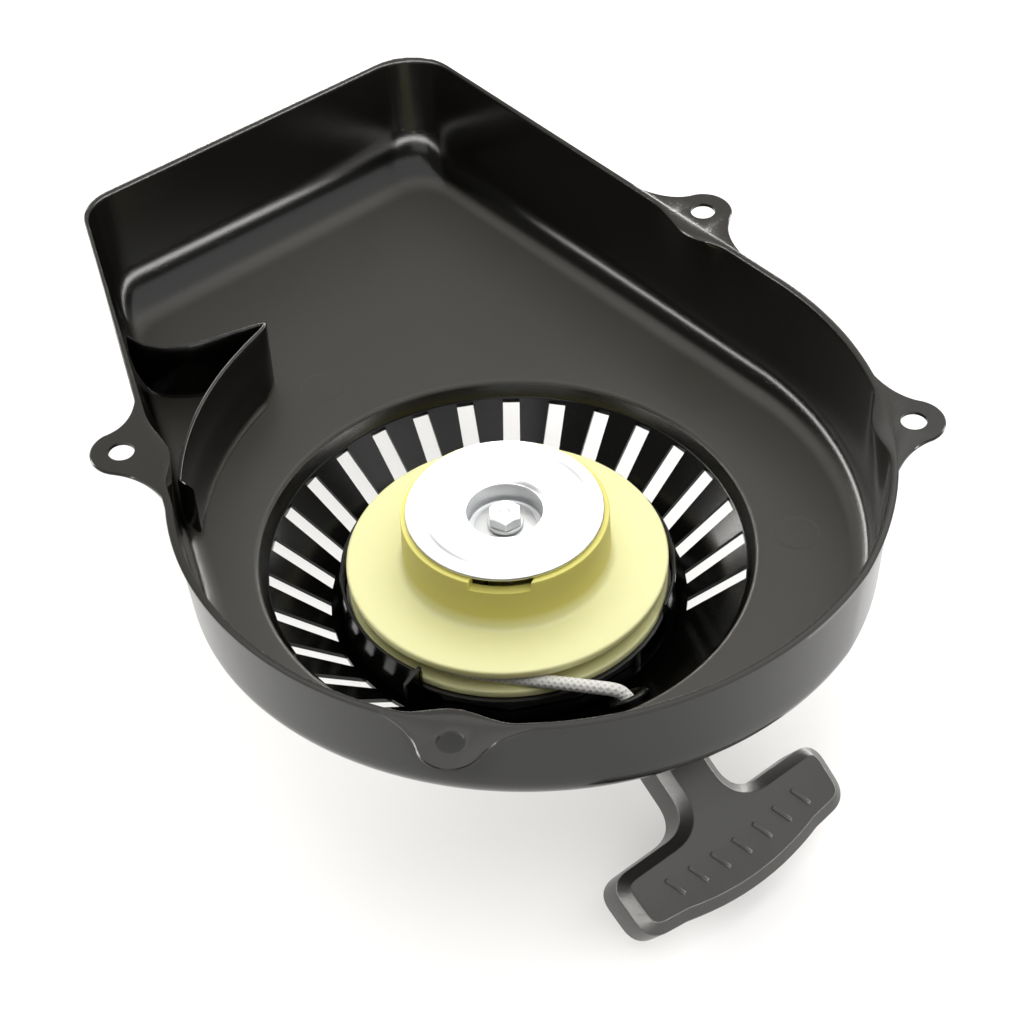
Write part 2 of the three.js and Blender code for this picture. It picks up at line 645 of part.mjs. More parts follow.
function gripOutline() {
  const fillet = 9;
  const corner = 7;
  const outline = new THREE.Shape();
  const outerBow = 2 * BAR_OUTER_MID - BAR_OUTER_END;
  outline.moveTo(STEM_START, -STEM_HALF_WIDTH);
  outline.lineTo(BAR_INNER - fillet, -STEM_HALF_WIDTH);
  outline.quadraticCurveTo(BAR_INNER, -STEM_HALF_WIDTH, BAR_INNER, -STEM_HALF_WIDTH - fillet);
  outline.lineTo(BAR_INNER, -BAR_HALF_LENGTH + corner);
  outline.quadraticCurveTo(BAR_INNER, -BAR_HALF_LENGTH, BAR_INNER + corner, -BAR_HALF_LENGTH);
  outline.lineTo(BAR_OUTER_END - corner, -BAR_HALF_LENGTH + 0.8);
  outline.quadraticCurveTo(BAR_OUTER_END, -BAR_HALF_LENGTH + 1, BAR_OUTER_END + 1.4, -BAR_HALF_LENGTH + corner);
  outline.quadraticCurveTo(outerBow - 2, 0, BAR_OUTER_END + 1.4, BAR_HALF_LENGTH - corner);
  outline.quadraticCurveTo(BAR_OUTER_END, BAR_HALF_LENGTH - 1, BAR_OUTER_END - corner, BAR_HALF_LENGTH - 0.8);
  outline.lineTo(BAR_INNER + corner, BAR_HALF_LENGTH);
  outline.quadraticCurveTo(BAR_INNER, BAR_HALF_LENGTH, BAR_INNER, BAR_HALF_LENGTH - corner);
  outline.lineTo(BAR_INNER, STEM_HALF_WIDTH + fillet);
  outline.quadraticCurveTo(BAR_INNER, STEM_HALF_WIDTH, BAR_INNER - fillet, STEM_HALF_WIDTH);
  outline.lineTo(STEM_START, STEM_HALF_WIDTH);
  outline.closePath();
  return outline;
}

const KNOT_AT = 52;

function handleGrip() {
  const bevel = 2.6;
  const body = new THREE.ExtrudeGeometry(gripOutline(), {
    depth: HANDLE_THICKNESS - 2 * bevel,
    bevelThickness: bevel,
    bevelSize: bevel,
    bevelOffset: -bevel,
    bevelSegments: 2,
    curveSegments: 6,
  }).translate(0, 0, -HANDLE_THICKNESS / 2 + bevel);
  const bore = new THREE.CylinderGeometry(2.6, 2.6, 42, 16).rotateZ(Math.PI / 2);
  const pocket = box(KNOT_AT, 0, -3, 12, 11, 16.4);
  return cut(body, bore.translate(28, 0, 0), pocket);
}

function knotWasher() {
  const ring = turned([[2.5, 0], [4.8, 0], [4.8, 1], [2.5, 1]], 20);
  return ring.rotateY(Math.PI / 2).translate(KNOT_AT - 5.7, 0, 0);
}

function handleKnot() {
  return new THREE.SphereGeometry(1, 12, 8).scale(3.8, 4.1, 4).translate(KNOT_AT - 0.5, 0, 0);
}

function ropeTail() {
  return tube(new THREE.LineCurve3(
    new THREE.Vector3(1.2, 0, 0),
    new THREE.Vector3(KNOT_AT - 4.7, 0, 0),
  ), ROPE_RADIUS, 6);
}

// ---------- assembly ----------
const starter = new THREE.Group();

function add(parent, name, geometry, material) {
  const mesh = new THREE.Mesh(closed(geometry), material());
  mesh.name = name;
  parent.add(mesh);
}

add(starter, 'fan_housing', fanHousing(), blackPaint);
add(starter, 'air_guide', airGuide(), blackPaint);
add(starter, 'reel_case', reelCase(), blackPaint);
add(starter, 'centre_post', centrePost(), steel);
add(starter, 'reel_bushing', turned([[7.3, 4.8], [8.8, 4.8], [8.8, 31.4], [7.3, 31.4]], 32), whiteNylon);
add(starter, 'recoil_spring', recoilSpring(), springSteel);
add(starter, 'spring_anchor', springAnchor(), steel);
add(starter, 'spring_cover', springCover(), darkSteel);
add(starter, 'rope_guide', ropeGuide(), blackPaint);
add(starter, 'rope_lead', ropeLead(), ropeFibre);
add(starter, 'brake_washer', brakeWasher(), steel);
add(starter, 'lock_washer', lockWasher(), steel);
add(starter, 'centre_bolt', centreBolt(), zincPlate);
add(starter, 'reel', reel(), creamNylon);
add(starter, 'rope_winding', ropeWinding(), ropeFibre);
add(starter, 'anchor_knot', anchorKnot(), ropeFibre);
PAWL_AZIMUTHS.forEach((azimuth, i) => {
  add(starter, `pawl_${i + 1}`, pawl(azimuth), zincPlate);
  add(starter, `pawl_pin_${i + 1}`, pawlPin(azimuth), steel);
  add(starter, `pawl_spring_${i + 1}`, pawlSpring(azimuth), springSteel);
});
add(starter, 'guide_plate', guidePlate(), zincPlate);

const handle = new THREE.Group();
handle.applyMatrix4(handleFrame);
add(handle, 'handle_grip', handleGrip(), blackGrip);
add(handle, 'knot_washer', knotWasher(), steel);
add(handle, 'handle_knot', handleKnot(), ropeFibre);
add(handle, 'rope_tail', ropeTail(), ropeFibre);
starter.add(handle);

export default starter;
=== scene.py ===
"""Looks of a recoil starter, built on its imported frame. Sizes in the helpers are millimetres."""

from math import acos, atan2, cos, degrees, hypot, pi, radians, sin, tan

import bmesh
import bpy
import numpy as np
from bpy.props import FloatProperty, FloatVectorProperty, IntProperty, PointerProperty
from mathutils import Matrix, Vector


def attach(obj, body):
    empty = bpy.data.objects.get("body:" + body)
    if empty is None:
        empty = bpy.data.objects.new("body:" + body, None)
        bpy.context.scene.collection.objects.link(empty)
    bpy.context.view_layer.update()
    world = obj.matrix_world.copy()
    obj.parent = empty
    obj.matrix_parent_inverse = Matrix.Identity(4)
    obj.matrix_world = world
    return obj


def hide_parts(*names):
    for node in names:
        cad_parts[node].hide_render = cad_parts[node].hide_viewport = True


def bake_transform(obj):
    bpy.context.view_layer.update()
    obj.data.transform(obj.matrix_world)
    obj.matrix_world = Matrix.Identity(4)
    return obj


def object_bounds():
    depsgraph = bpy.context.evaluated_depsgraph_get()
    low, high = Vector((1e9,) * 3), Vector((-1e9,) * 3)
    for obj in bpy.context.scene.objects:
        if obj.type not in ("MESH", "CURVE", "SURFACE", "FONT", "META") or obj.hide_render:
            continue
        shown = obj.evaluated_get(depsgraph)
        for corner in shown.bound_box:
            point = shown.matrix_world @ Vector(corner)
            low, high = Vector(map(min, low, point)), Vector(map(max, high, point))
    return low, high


bl_info = {
    "name": "Recoil Starter",
    "version": (1, 0, 0),
    "blender": (4, 5, 0),
    "location": "3D View > Sidebar > Starter",
    "description": "Builds the shown pieces of a pull-rope recoil starter on its packed frame",
    "category": "Add Mesh",
}

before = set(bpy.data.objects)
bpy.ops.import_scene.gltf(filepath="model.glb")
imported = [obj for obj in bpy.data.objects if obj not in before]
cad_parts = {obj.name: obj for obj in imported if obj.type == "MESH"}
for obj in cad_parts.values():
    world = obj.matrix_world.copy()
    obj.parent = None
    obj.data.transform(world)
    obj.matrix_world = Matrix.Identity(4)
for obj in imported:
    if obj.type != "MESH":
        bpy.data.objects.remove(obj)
CAD_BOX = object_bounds()
MM = 0.001

# The pressed housing. Each ear is (x, y, direction it faces in degrees).
SHEET = 1.2
RIM_Z = 66.0
FLOOR_Z = 25.5
CONE_FOOT = 52.6
CONE_RUN = 21.8
CONE_RISE = 19.4
FAR_CORNER = (-23.4, 215.4)
SIDE_CORNER = (-137.2, 132.1)
TANGENT_ANGLE = 39.2
SCROLL_END_ANGLE = -170
SCROLL_SPAN = 140
EARS = ((-114.0, 7.9, 192), (70.0, 110.2, 39.2), (123.6, 3.2, 2), (-17.3, -113.7, -102))
EAR_RADIUS = 9.6
EAR_SHOULDER_ANGLE = 62
EAR_ROOT = 24
EAR_SWELL_AT = 12
EAR_SWELL = 2.6
EAR_TUCK = 0.5
EAR_OVERLAP = 1.6
DENT_DEPTH = 4
DENT_HALF_WIDTH = 18
FIRST_SLOT_ANGLE = -9
SLOT_PITCH = 12
SLOT_LENGTH = 18
SLOT_MIDDLE = 65

# The bent air guide, from the wall to its fold and on along the scroll.
AIR_GUIDE_LEG = (
    (-120.5, 85.6), (-115, 80.4), (-108.5, 77.6), (-101, 77.2), (-93, 78.6), (-84, 80.8), (-74.6, 82.4),
)
AIR_GUIDE_CLEARANCE = 0.35
AIR_GUIDE_FLARE = 3.5

# The reel, the rope and the handle.
PAWL_AZIMUTHS = (-116.5, 63.5)
COIL_OUTER = 45.4
COIL_INNER = 24.6
COIL_TURNS = 4.9
COIL_STEPS = 72
ROPE_Z = 16.3
REEL_KNOT = (30, 120)
GUIDE = Vector((34.2, -54.6, 12))
GUIDE_PITCH = 49
GUIDE_HOLE = 5.7
HANDLE_AZIMUTH = -52
HANDLE_PITCH = 34
HANDLE_KNOT_OUT = 51.6
RIBS = 7
RIB_PITCH = 8.4

# A cut that leaves less than this share of a piece's size has gone wrong.
LEAST_LEFT = 0.6


# ---------- sizes and colours that a user would change ----------
def length(name, description, default):
    return FloatProperty(name=name, description=description, default=default, unit="LENGTH", precision=5)


def colour(name, description, default):
    return FloatVectorProperty(
        name=name, description=description, default=default, subtype="COLOR", min=0, max=1
    )


class StarterHousingSizes(bpy.types.PropertyGroup):
    rim_radius: length("Rim radius", "Radius of the round part of the rim", 0.1175)
    scroll_end: length("Scroll end", "Radius of the rim where the fan scroll ends", 0.101)
    rim_width: length("Rim flange", "Width of the turned-out edge", 0.0024)
    slot_width: length("Slot width", "Width of each air slot in the bowl", 0.0055)
    slots: IntProperty(name="Slots", description="Number of air slots", default=21, min=1, max=30)
    ear_hole: length("Ear hole", "Radius of each ear's bolt hole", 0.004)
    paint: colour("Paint", "Colour of the black paint", (0.0014, 0.0013, 0.0011))


class StarterReelSizes(bpy.types.PropertyGroup):
    flange: length("Flange radius", "Outer radius of the reel's two flanges", 0.05)
    hub: length("Hub radius", "Outer radius of the pawl hub", 0.032)
    plate: length("Plate radius", "Outer radius of the bright guide plate", 0.0304)
    nylon: colour("Nylon", "Colour of the moulded reel", (0.93, 0.9, 0.47))
    zinc: colour("Zinc", "Colour of the plated steel", (0.78, 0.79, 0.8))


class StarterRopeSizes(bpy.types.PropertyGroup):
    radius: length("Rope radius", "Radius of the braided rope", 0.0021)
    fibre: colour("Fibre", "Colour of the rope", (0.93, 0.91, 0.86))


class StarterHandleSizes(bpy.types.PropertyGroup):
    thickness: length("Thickness", "Thickness of the grip", 0.017)
    edge: length("Edge", "Width of the grip's chamfered edge", 0.0033)
    rubber: colour("Rubber", "Colour of the grip", (0.009, 0.0087, 0.008))


class StarterStageSizes(bpy.types.PropertyGroup):
    floor: colour("Floor", "Colour of the pale floor", (0.66, 0.66, 0.665))
    horizon: FloatProperty(
        name="Horizon light", description="Strength of the low bright band of sky", default=19.0
    )
    sky: FloatProperty(name="Sky light", description="Strength of the sky overhead", default=0.22)


GROUPS = {
    "starter_housing": StarterHousingSizes,
    "starter_reel": StarterReelSizes,
    "starter_rope": StarterRopeSizes,
    "starter_handle": StarterHandleSizes,
    "starter_stage": StarterStageSizes,
}


# ---------- modelling helpers ----------
def polar(radius, angle):
    return radius * cos(radians(angle)), radius * sin(radians(angle))


def bearing(x, y):
    return degrees(atan2(y, x))


def quadratic(a, b, c, t):
    """A point on the curve from a to c that is drawn toward b."""
    return a * (1 - t) ** 2 + b * 2 * t * (1 - t) + c * t**2


def deselect():
    if bpy.context.object and bpy.context.object.mode != "OBJECT":
        bpy.ops.object.mode_set(mode="OBJECT")
    bpy.ops.object.select_all(action="DESELECT")


def pick(*pieces):
    deselect()
    for piece in pieces:
        piece.select_set(True)
    bpy.context.view_layer.objects.active = pieces[0]


def named(name):
    piece = bpy.context.object
    piece.name = piece.data.name = name
    return piece


def settled(piece):
    pick(piece)
    bpy.ops.object.transform_apply(location=True, rotation=True, scale=True)
    return piece


def placed(piece, matrix):
    """The piece moved into place, with its place in its mesh. The matrix is in millimetres."""
    move = matrix.copy()
    move.translation = matrix.translation * MM
    piece.matrix_world = move
    return settled(piece)


def drawn_rings(name, columns, rings, place, angle=35, capped=False):
    """A circle drawn out ring by ring. place(ring, column) gives each point in millimetres."""
    deselect()
    bpy.ops.mesh.primitive_circle_add(vertices=columns, radius=0.01)
    piece = named(name)
    bpy.ops.object.mode_set(mode="EDIT")
    mesh = bmesh.from_edit_mesh(piece.data)
    for column, vertex in enumerate(mesh.verts):
        vertex.co = Vector(place(0, column)) * MM
    if capped:
        bpy.ops.mesh.edge_face_add()
        bpy.ops.mesh.select_all(action="DESELECT")
        mesh = bmesh.from_edit_mesh(piece.data)
        for edge in mesh.edges:
            edge.select_set(True)
    for ring in range(1, rings):
        bpy.ops.mesh.extrude_edges_move()
        mesh = bmesh.from_edit_mesh(piece.data)
        mesh.verts.ensure_lookup_table()
        for column in range(columns):
            mesh.verts[ring * columns + column].co = Vector(place(ring, column)) * MM
    if capped:
        bpy.ops.mesh.edge_face_add()
    bmesh.update_edit_mesh(piece.data)
    bpy.ops.mesh.select_all(action="SELECT")
    bpy.ops.mesh.remove_doubles(threshold=2e-6)
    bpy.ops.mesh.normals_make_consistent(inside=False)
    bpy.ops.object.mode_set(mode="OBJECT")
    bpy.ops.object.shade_smooth_by_angle(angle=radians(angle))
    return piece


def softened(profile, radius, closed=True, steps=3):
    """A profile with its corners rounded; a point may carry its own radius as a third number."""
    points = []
    count = len(profile)
    for i, corner in enumerate(profile):
        here = Vector(corner[:2])
        own = corner[2] if len(corner) > 2 else radius
        at_end = not closed and i in (0, count - 1)
        if own == 0 or at_end:
            points.append(here)
            continue
        before = Vector(profile[i - 1][:2]) - here
        after = Vector(profile[(i + 1) % count][:2]) - here
        half = before.angle(after) / 2
        reach = min(own / max(tan(half), 0.02), 0.49 * before.length, 0.49 * after.length)
        start = here + before.normalized() * reach
        end = here + after.normalized() * reach
        points += [quadratic(start, here, end, step / steps) for step in range(steps + 1)]
    return points


def turned(name, profile, segments=96, radius=0.3, steps=3, angle=35):
    """A profile of (radius, height) pairs turned about Z."""
    open_ended = profile[0][0] == 0 and profile[-1][0] == 0
    points = softened(profile, radius, not open_ended, steps)
    if not open_ended:
        points.append(points[0])

    def place(ring, column):
        r, z = points[ring]
        x, y = polar(r, 360 * column / segments)
        return x, y, z

    return drawn_rings(name, segments, len(points), place, angle)


def rod(name, radius, low, high, segments, rounding=0):
    """A solid round rod along Z."""
    profile = [(0, low), (radius, low), (radius, high), (0, high)]
    return turned(name, profile, segments, rounding)


def rounded_block(name, size, corner, segments=4):
    """A block with its four upright edges rounded."""
    deselect()
    bpy.ops.mesh.primitive_cube_add(size=1, scale=[v * MM for v in size])
    block = settled(named(name))
    bpy.ops.object.mode_set(mode="EDIT")
    bpy.ops.mesh.select_all(action="DESELECT")
    mesh = bmesh.from_edit_mesh(block.data)
    for edge in mesh.edges:
        a, b = (v.co for v in edge.verts)
        edge.select_set(abs(a.z - b.z) > 0.4 * size[2] * MM)
    bmesh.update_edit_mesh(block.data)
    bpy.ops.mesh.bevel(offset=corner * MM, segments=segments, affect="EDGES")
    bpy.ops.object.mode_set(mode="OBJECT")
    return block


def turn_about_z(angle, x=0.0, y=0.0, z=0.0):
    return Matrix.Rotation(radians(angle), 4, "Z") @ Matrix.Translation((x, y, z))


def copied(piece, matrix, name):
    pick(piece)
    bpy.ops.object.duplicate()
    return placed(named(name), matrix)


def joined(*pieces):
    pick(*pieces)
    if len(pieces) > 1:
        bpy.ops.object.join()
    return pieces[0]


def carved(piece, tools, operation="DIFFERENCE", angle=35):
    """The piece after a boolean with the tools, which are used up."""
    tool = joined(*tools)
    pick(piece)
    bpy.context.view_layer.update()
    size = piece.dimensions.length
    bpy.ops.object.modifier_add(type="BOOLEAN")
    modifier = piece.modifiers[-1]
    modifier.operation = operation
    modifier.solver = "EXACT"
    modifier.object = tool
    bpy.ops.object.modifier_apply(modifier=modifier.name)
    bpy.data.objects.remove(tool)
    bpy.context.view_layer.update()
    if piece.dimensions.length < LEAST_LEFT * size:
        raise RuntimeError(f"{piece.name} was cut away")
    bpy.ops.object.shade_smooth_by_angle(angle=radians(angle))
    return piece


def eased(piece, width, segments=2, limit=40, angle=35):
    """Small rounds on a piece's sharp edges."""
    pick(piece)
    bpy.ops.object.modifier_add(type="BEVEL")
    modifier = piece.modifiers[-1]
    modifier.width = width * MM
    modifier.segments = segments
    modifier.limit_method = "ANGLE"
    modifier.angle_limit = radians(limit)
    bpy.ops.object.modifier_apply(modifier=modifier.name)
    bpy.ops.object.shade_smooth_by_angle(angle=radians(angle))
    return piece


def axis_frame(origin, outward, across):
    """A frame at origin with X outward and Y across."""
    up = outward.cross(across)
    matrix = Matrix((outward, across, up)).transposed().to_4x4()
    matrix.translation = origin
    return matrix


def downward_axis(azimuth, pitch):
    x, y = polar(cos(radians(pitch)), azimuth)
    return Vector((x, y, -sin(radians(pitch))))


def sideways(azimuth):
    return Vector((-sin(radians(azimuth)), cos(radians(azimuth)), 0))


GUIDE_AZIMUTH = bearing(GUIDE.x, GUIDE.y)
GUIDE_FRAME = axis_frame(GUIDE, downward_axis(GUIDE_AZIMUTH, GUIDE_PITCH), sideways(GUIDE_AZIMUTH))
HANDLE_AXIS = downward_axis(HANDLE_AZIMUTH, HANDLE_PITCH)
HANDLE_FRAME = axis_frame(GUIDE, HANDLE_AXIS, sideways(HANDLE_AZIMUTH))
Z_TO_X = Matrix.Rotation(pi / 2, 4, "Y")


def evenly(points, spacing):
    """Points at an even spacing along a line of points."""
    line = np.array([tuple(p) for p in points])
    along = np.concatenate([[0], np.cumsum(np.linalg.norm(np.diff(line, axis=0), axis=1))])
    stations = np.linspace(0, along[-1], max(2, round(along[-1] / spacing) + 1))
    return [Vector([np.interp(s, along, line[:, k]) for k in range(line.shape[1])]) for s in stations]


def cord(name, points, radius, sides=16, spacing=1.0):
    """A round cord along points, with rounded ends and its lay kept as a point attribute."""
    line = evenly(points, spacing)
    normal = Vector((0, 0, 1))
    rings = []
    for i, point in enumerate(line):
        ahead = (line[min(i + 1, len(line) - 1)] - line[max(i - 1, 0)]).normalized()
        normal = (normal - ahead * normal.dot(ahead)).normalized()
        rings.append((point, normal.copy(), ahead.cross(normal), 1.0, i * spacing))
    first, last = rings[0], rings[-1]
    caps = [(0.0, 0.45), (0.6, 0.38), (0.88, 0.2)]
    ahead = (line[1] - line[0]).normalized()
    start = [(first[0] - ahead * radius * out, first[1], first[2], s, 0.0) for s, out in caps]
    ahead = (line[-1] - line[-2]).normalized()
    end = [(last[0] + ahead * radius * out, last[1], last[2], s, last[4]) for s, out in reversed(caps)]
    rings = start + rings + end

    def place(ring, column):
        point, n, b, size, _ = rings[ring]
        turn = 2 * pi * column / sides
        return point + (n * cos(turn) + b * sin(turn)) * radius * size

    piece = drawn_rings(name, sides, len(rings), place, angle=60)
    lay = piece.data.attributes.new("lay", "FLOAT_VECTOR", "POINT")
    spots = np.array([tuple(r[0]) for r in rings])
    for i, vertex in enumerate(piece.data.vertices):
        near = rings[int(np.argmin(np.linalg.norm(spots - np.array(vertex.co) / MM, axis=1)))]
        across = vertex.co / MM - near[0]
        turn = atan2(across.dot(near[2]), across.dot(near[1]))
        lay.data[i].vector = (cos(turn), sin(turn), near[4])
    return piece


# ---------- shader helpers ----------
class Signal:
    """A shader value that can be used in plain arithmetic."""

    def __init__(self, nodes, socket):
        self.nodes = nodes
        self.socket = socket

    def math(self, operation, *values):
        return self.nodes.node("ShaderNodeMath", {"operation": operation}, dict(enumerate(values)))

    def __add__(self, other):
        return self.math("ADD", self, other)

    def __sub__(self, other):
        return self.math("SUBTRACT", self, other)

    def __mul__(self, other):
        return self.math("MULTIPLY", self, other)

    def __rsub__(self, other):
        return self.math("SUBTRACT", other, self)

    def __gt__(self, other):
        return self.math("GREATER_THAN", self, other)

    def __pow__(self, other):
        return self.math("POWER", self, other)

    def __abs__(self):
        return self.math("ABSOLUTE", self)

    __radd__ = __add__
    __rmul__ = __mul__

    def sine(self):
        return self.math("SINE", self)


class Nodes:
    """The nodes of one shader tree."""

    def __init__(self, tree):
        self.tree = tree

    def wire(self, socket, value):
        if isinstance(value, Signal):
            self.tree.links.new(value.socket, socket)
        else:
            socket.default_value = value

    def node(self, kind, settings=None, values=None, output=0):
        made = self.tree.nodes.new(kind)
        for key, value in (settings or {}).items():
            setattr(made, key, value)
        for key, value in (values or {}).items():
            self.wire(made.inputs[key], value)
        return Signal(self, made.outputs[output])

    def range(self, value, low, high, to_low=0.0, to_high=1.0):
        values = {"Value": value, 1: low, 2: high, 3: to_low, 4: to_high}
        return self.node("ShaderNodeMapRange", {"interpolation_type": "SMOOTHSTEP"}, values)


class Finish(Nodes):
    """A procedural material, written as expressions on the place of each point."""

    def __init__(self, name, colour, roughness, metallic=0.0, **constants):
        self.material = bpy.data.materials.new(name)
        self.material.use_nodes = True
        super().__init__(self.material.node_tree)
        self.shader = self.tree.nodes["Principled BSDF"]
        self.set("Base Color", (*colour, 1))
        self.set("Roughness", roughness)
        self.set("Metallic", metallic)
        for key, value in constants.items():
            self.set(key.replace("_", " "), value)
        self.at = self.node("ShaderNodeTexCoord", output="Object")

    def set(self, socket, value):
        self.wire(self.shader.inputs[socket], value)

    def noise(self, scale, detail=2.0, rough=0.5, at=None, stretch=(1, 1, 1)):
        where = self.node("ShaderNodeMapping", None, {"Vector": at or self.at, "Scale": stretch})
        values = {"Vector": where, "Scale": scale, "Detail": detail, "Roughness": rough}
        return self.node("ShaderNodeTexNoise", None, values)

    def blend(self, amount, first, second):
        values = {"Factor": amount, 6: first, 7: second}
        return self.node("ShaderNodeMix", {"data_type": "RGBA"}, values, output=2)

    def bump(self, height, strength, depth):
        values = {"Height": height, "Strength": strength, "Distance": depth}
        self.set("Normal", self.node("ShaderNodeBump", None, values))

    def distance(self, x, y, z=None):
        """Distance in metres from an upright line, or from a point."""
        flat = (1, 1, 0 if z is None else 1)
        here = self.node("ShaderNodeVectorMath", {"operation": "MULTIPLY"}, {0: self.at, 1: flat})
        values = {0: here, 1: (x * MM, y * MM, (z or 0) * MM)}
        return self.node("ShaderNodeVectorMath", {"operation": "DISTANCE"}, values, output="Value")


def rgb(colour, factor=1.0):
    return tuple(min(1.0, c * factor) for c in colour) + (1,)


def black_paint(colour, name="black_paint", spots=()):
    """Glossy on the bends and walls and more matt on the floor. The floor is painted lighter as painted light
    from above, with a cloudy tone, and the flat tops of the rim and ears are painted a little lighter as
    painted highlight.
    """
    paint = Finish(name, colour, 0.3, IOR=1.38)
    grain = paint.noise(1900, 2.0, 0.6)
    cloud = paint.noise(26, 3.0, 0.55)
    flecks = paint.range(paint.noise(1250, 1.0, 0.5), 0.66, 0.74)
    height = paint.node("ShaderNodeSeparateXYZ", None, {0: paint.at}, output="Z")
    floor = paint.range(height, (FLOOR_Z - 1.4) * MM, (FLOOR_Z - 0.6) * MM)
    floor = floor * paint.range(height, (FLOOR_Z + 0.2) * MM, (FLOOR_Z + 2.4) * MM, 1, 0)
    rim = paint.range(height, (RIM_Z - 0.6) * MM, (RIM_Z - 0.3) * MM)
    # Painted light: the up-facing floor is lightened where light from above falls, with a cloudy tone, and
    # the flat tops of the rim and ears get a painted highlight.
    painted_floor_and_rim_light = floor * (0.8 + cloud * 0.4) + rim * 0.22
    paint.set("Base Color", paint.blend(painted_floor_and_rim_light, rgb(colour), rgb(colour, 26)))
    paint.set("Roughness", 0.11 + cloud * 0.04 + grain * 0.08 + floor * 0.2)
    relief = grain * 0.5 + flecks * 0.3
    for x, y, radius in spots:
        away = paint.distance(x, y)
        relief = relief + paint.range(away, (radius - 1.2) * MM, radius * MM, -1.2, 0)
    paint.bump(relief, 0.25, 0.0002)
    return paint.material


def cream_nylon(colour):
    nylon = Finish("cream_nylon", colour, 0.42, Subsurface_Weight=0.25, Subsurface_Scale=0.004)
    nylon.set("Subsurface Radius", (1.0, 0.8, 0.4))
    cloud = nylon.noise(38, 4.0, 0.6)
    grain = nylon.noise(900, 2.0)
    # Painted shade: the hub above the upper flange is painted darker and browner, standing in for the shade
    # on its side wall.
    side = nylon.node("ShaderNodeSeparateXYZ", None, {0: nylon.at}, output="Z")
    hub = nylon.range(side, 0.0235, 0.028)
    tone = nylon.blend(hub, rgb(colour), (colour[0] * 0.8, colour[1] * 0.75, colour[2] * 0.34, 1))
    nylon.set("Base Color", nylon.blend(cloud * 0.12, tone, rgb(colour, 0.86)))
    nylon.set("Roughness", 0.34 + cloud * 0.16)
    nylon.bump(grain * 0.5 + cloud, 0.12, 0.0003)
    return nylon.material


def plated(colour, name="bright_zinc", roughness=0.24):
    """Zinc plate with the circular marks of the press tool."""
    zinc = Finish(name, colour, roughness, 1.0)
    away = zinc.distance(0, 0)
    rings = zinc.noise(1.0, 3.0, 0.6, at=zinc.node("ShaderNodeCombineXYZ", None, {0: away * 2600}))
    cloud = zinc.noise(60, 4.0, 0.6)
    specks = zinc.range(zinc.noise(700, 2.0), 0.62, 0.72)
    zinc.set("Base Color", zinc.blend(cloud * 0.5 + specks * 0.2, rgb(colour), rgb(colour, 0.78)))
    zinc.set("Roughness", roughness + cloud * 0.16 + rings * 0.08)
    zinc.bump(rings * 0.6 + cloud * 0.3, 0.08, 0.0002)
    return zinc.material


def bare_steel(name, tone, roughness):
    steel = Finish(name, (tone, tone, tone * 1.01), roughness, 1.0)
    cloud = steel.noise(90, 4.0, 0.6)
    steel.set("Base Color", steel.blend(cloud, rgb((tone,) * 3), rgb((tone,) * 3, 0.6)))
    steel.set("Roughness", roughness + cloud * 0.2)
    steel.bump(steel.noise(1500), 0.1, 0.0001)
    return steel.material


def white_nylon():
    nylon = Finish("white_nylon", (0.8, 0.79, 0.74), 0.45, Subsurface_Weight=0.15, Subsurface_Scale=0.003)
    cloud = nylon.noise(140, 3.0)
    nylon.set("Roughness", 0.38 + cloud * 0.2)
    nylon.bump(nylon.noise(1200), 0.1, 0.0002)
    return nylon.material


def braided(colour):
    """Two crossing sets of strands, read from the cord's own lay."""
    fibre = Finish("braided_rope", colour, 0.85, Sheen_Weight=0.3)
    lay = fibre.node("ShaderNodeAttribute", {"attribute_name": "lay"}, output="Vector")
    parts = [fibre.node("ShaderNodeSeparateXYZ", None, {0: lay}, output=k) for k in range(3)]
    turn = parts[0].math("ARCTAN2", parts[1], parts[0])
    one = (turn * 5 + parts[2] * 3.2).sine()
    other = (turn * 5 - parts[2] * 3.2).sine()
    strands = one.math("MAXIMUM", one, other)
    fuzz = fibre.noise(2600, 3.0, 0.7)
    # Painted shade: the grooves between the strands are painted darker than the strands.
    fibre.set("Base Color", fibre.blend(fibre.range(strands, 0.0, 0.8), rgb(colour, 0.8), rgb(colour)))
    fibre.bump(strands + fuzz * 0.5, 0.45, 0.0003)
    return fibre.material


def grip_rubber(colour):
    rubber = Finish("grip_rubber", colour, 0.45, IOR=1.55)
    cells = {"Vector": rubber.at, "Scale": 1500.0}
    pebble = rubber.node("ShaderNodeTexVoronoi", {"feature": "SMOOTH_F1"}, cells)
    cloud = rubber.noise(60, 4.0, 0.6)
    dust = rubber.range(rubber.noise(420, 4.0, 0.7), 0.6, 0.75)
    rubber.set("Base Color", rubber.blend(cloud * 0.5 + dust * 0.3, rgb(colour), rgb(colour, 1.9)))
    rubber.set("Roughness", 0.27 + cloud * 0.12 + dust * 0.1)
    rubber.bump(pebble, 0.14, 0.0002)
    return rubber.material


def coat(piece, material):
    piece.data.materials.clear()
    piece.data.materials.append(material)
    return piece


def coat_node(name, material):
    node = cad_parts[name]
    for slot in node.material_slots:
        slot.link = "OBJECT"
        slot.material = material


def shown(piece, body, slot, *nodes):
    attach(piece, body)
    if nodes:
        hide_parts(*nodes)
    return piece


# ---------- housing ----------
def corner_arc(before, corner, after, radius, steps=20):
    """The arc that rounds a corner between two straight runs."""
    back = (Vector(before) - Vector(corner)).normalized()
    ahead = (Vector(after) - Vector(corner)).normalized()
    half = back.angle(ahead) / 2
    reach = radius / tan(half)
    start = Vector(corner) + back * reach
    end = Vector(corner) + ahead * reach
    centre = Vector(corner) + (back + ahead).normalized() * hypot(reach, radius)
    first, last = start - centre, end - centre
    turn = last.angle_signed(first)
    return [centre + Matrix.Rotation(turn * i / steps, 2) @ first for i in range(steps + 1)]


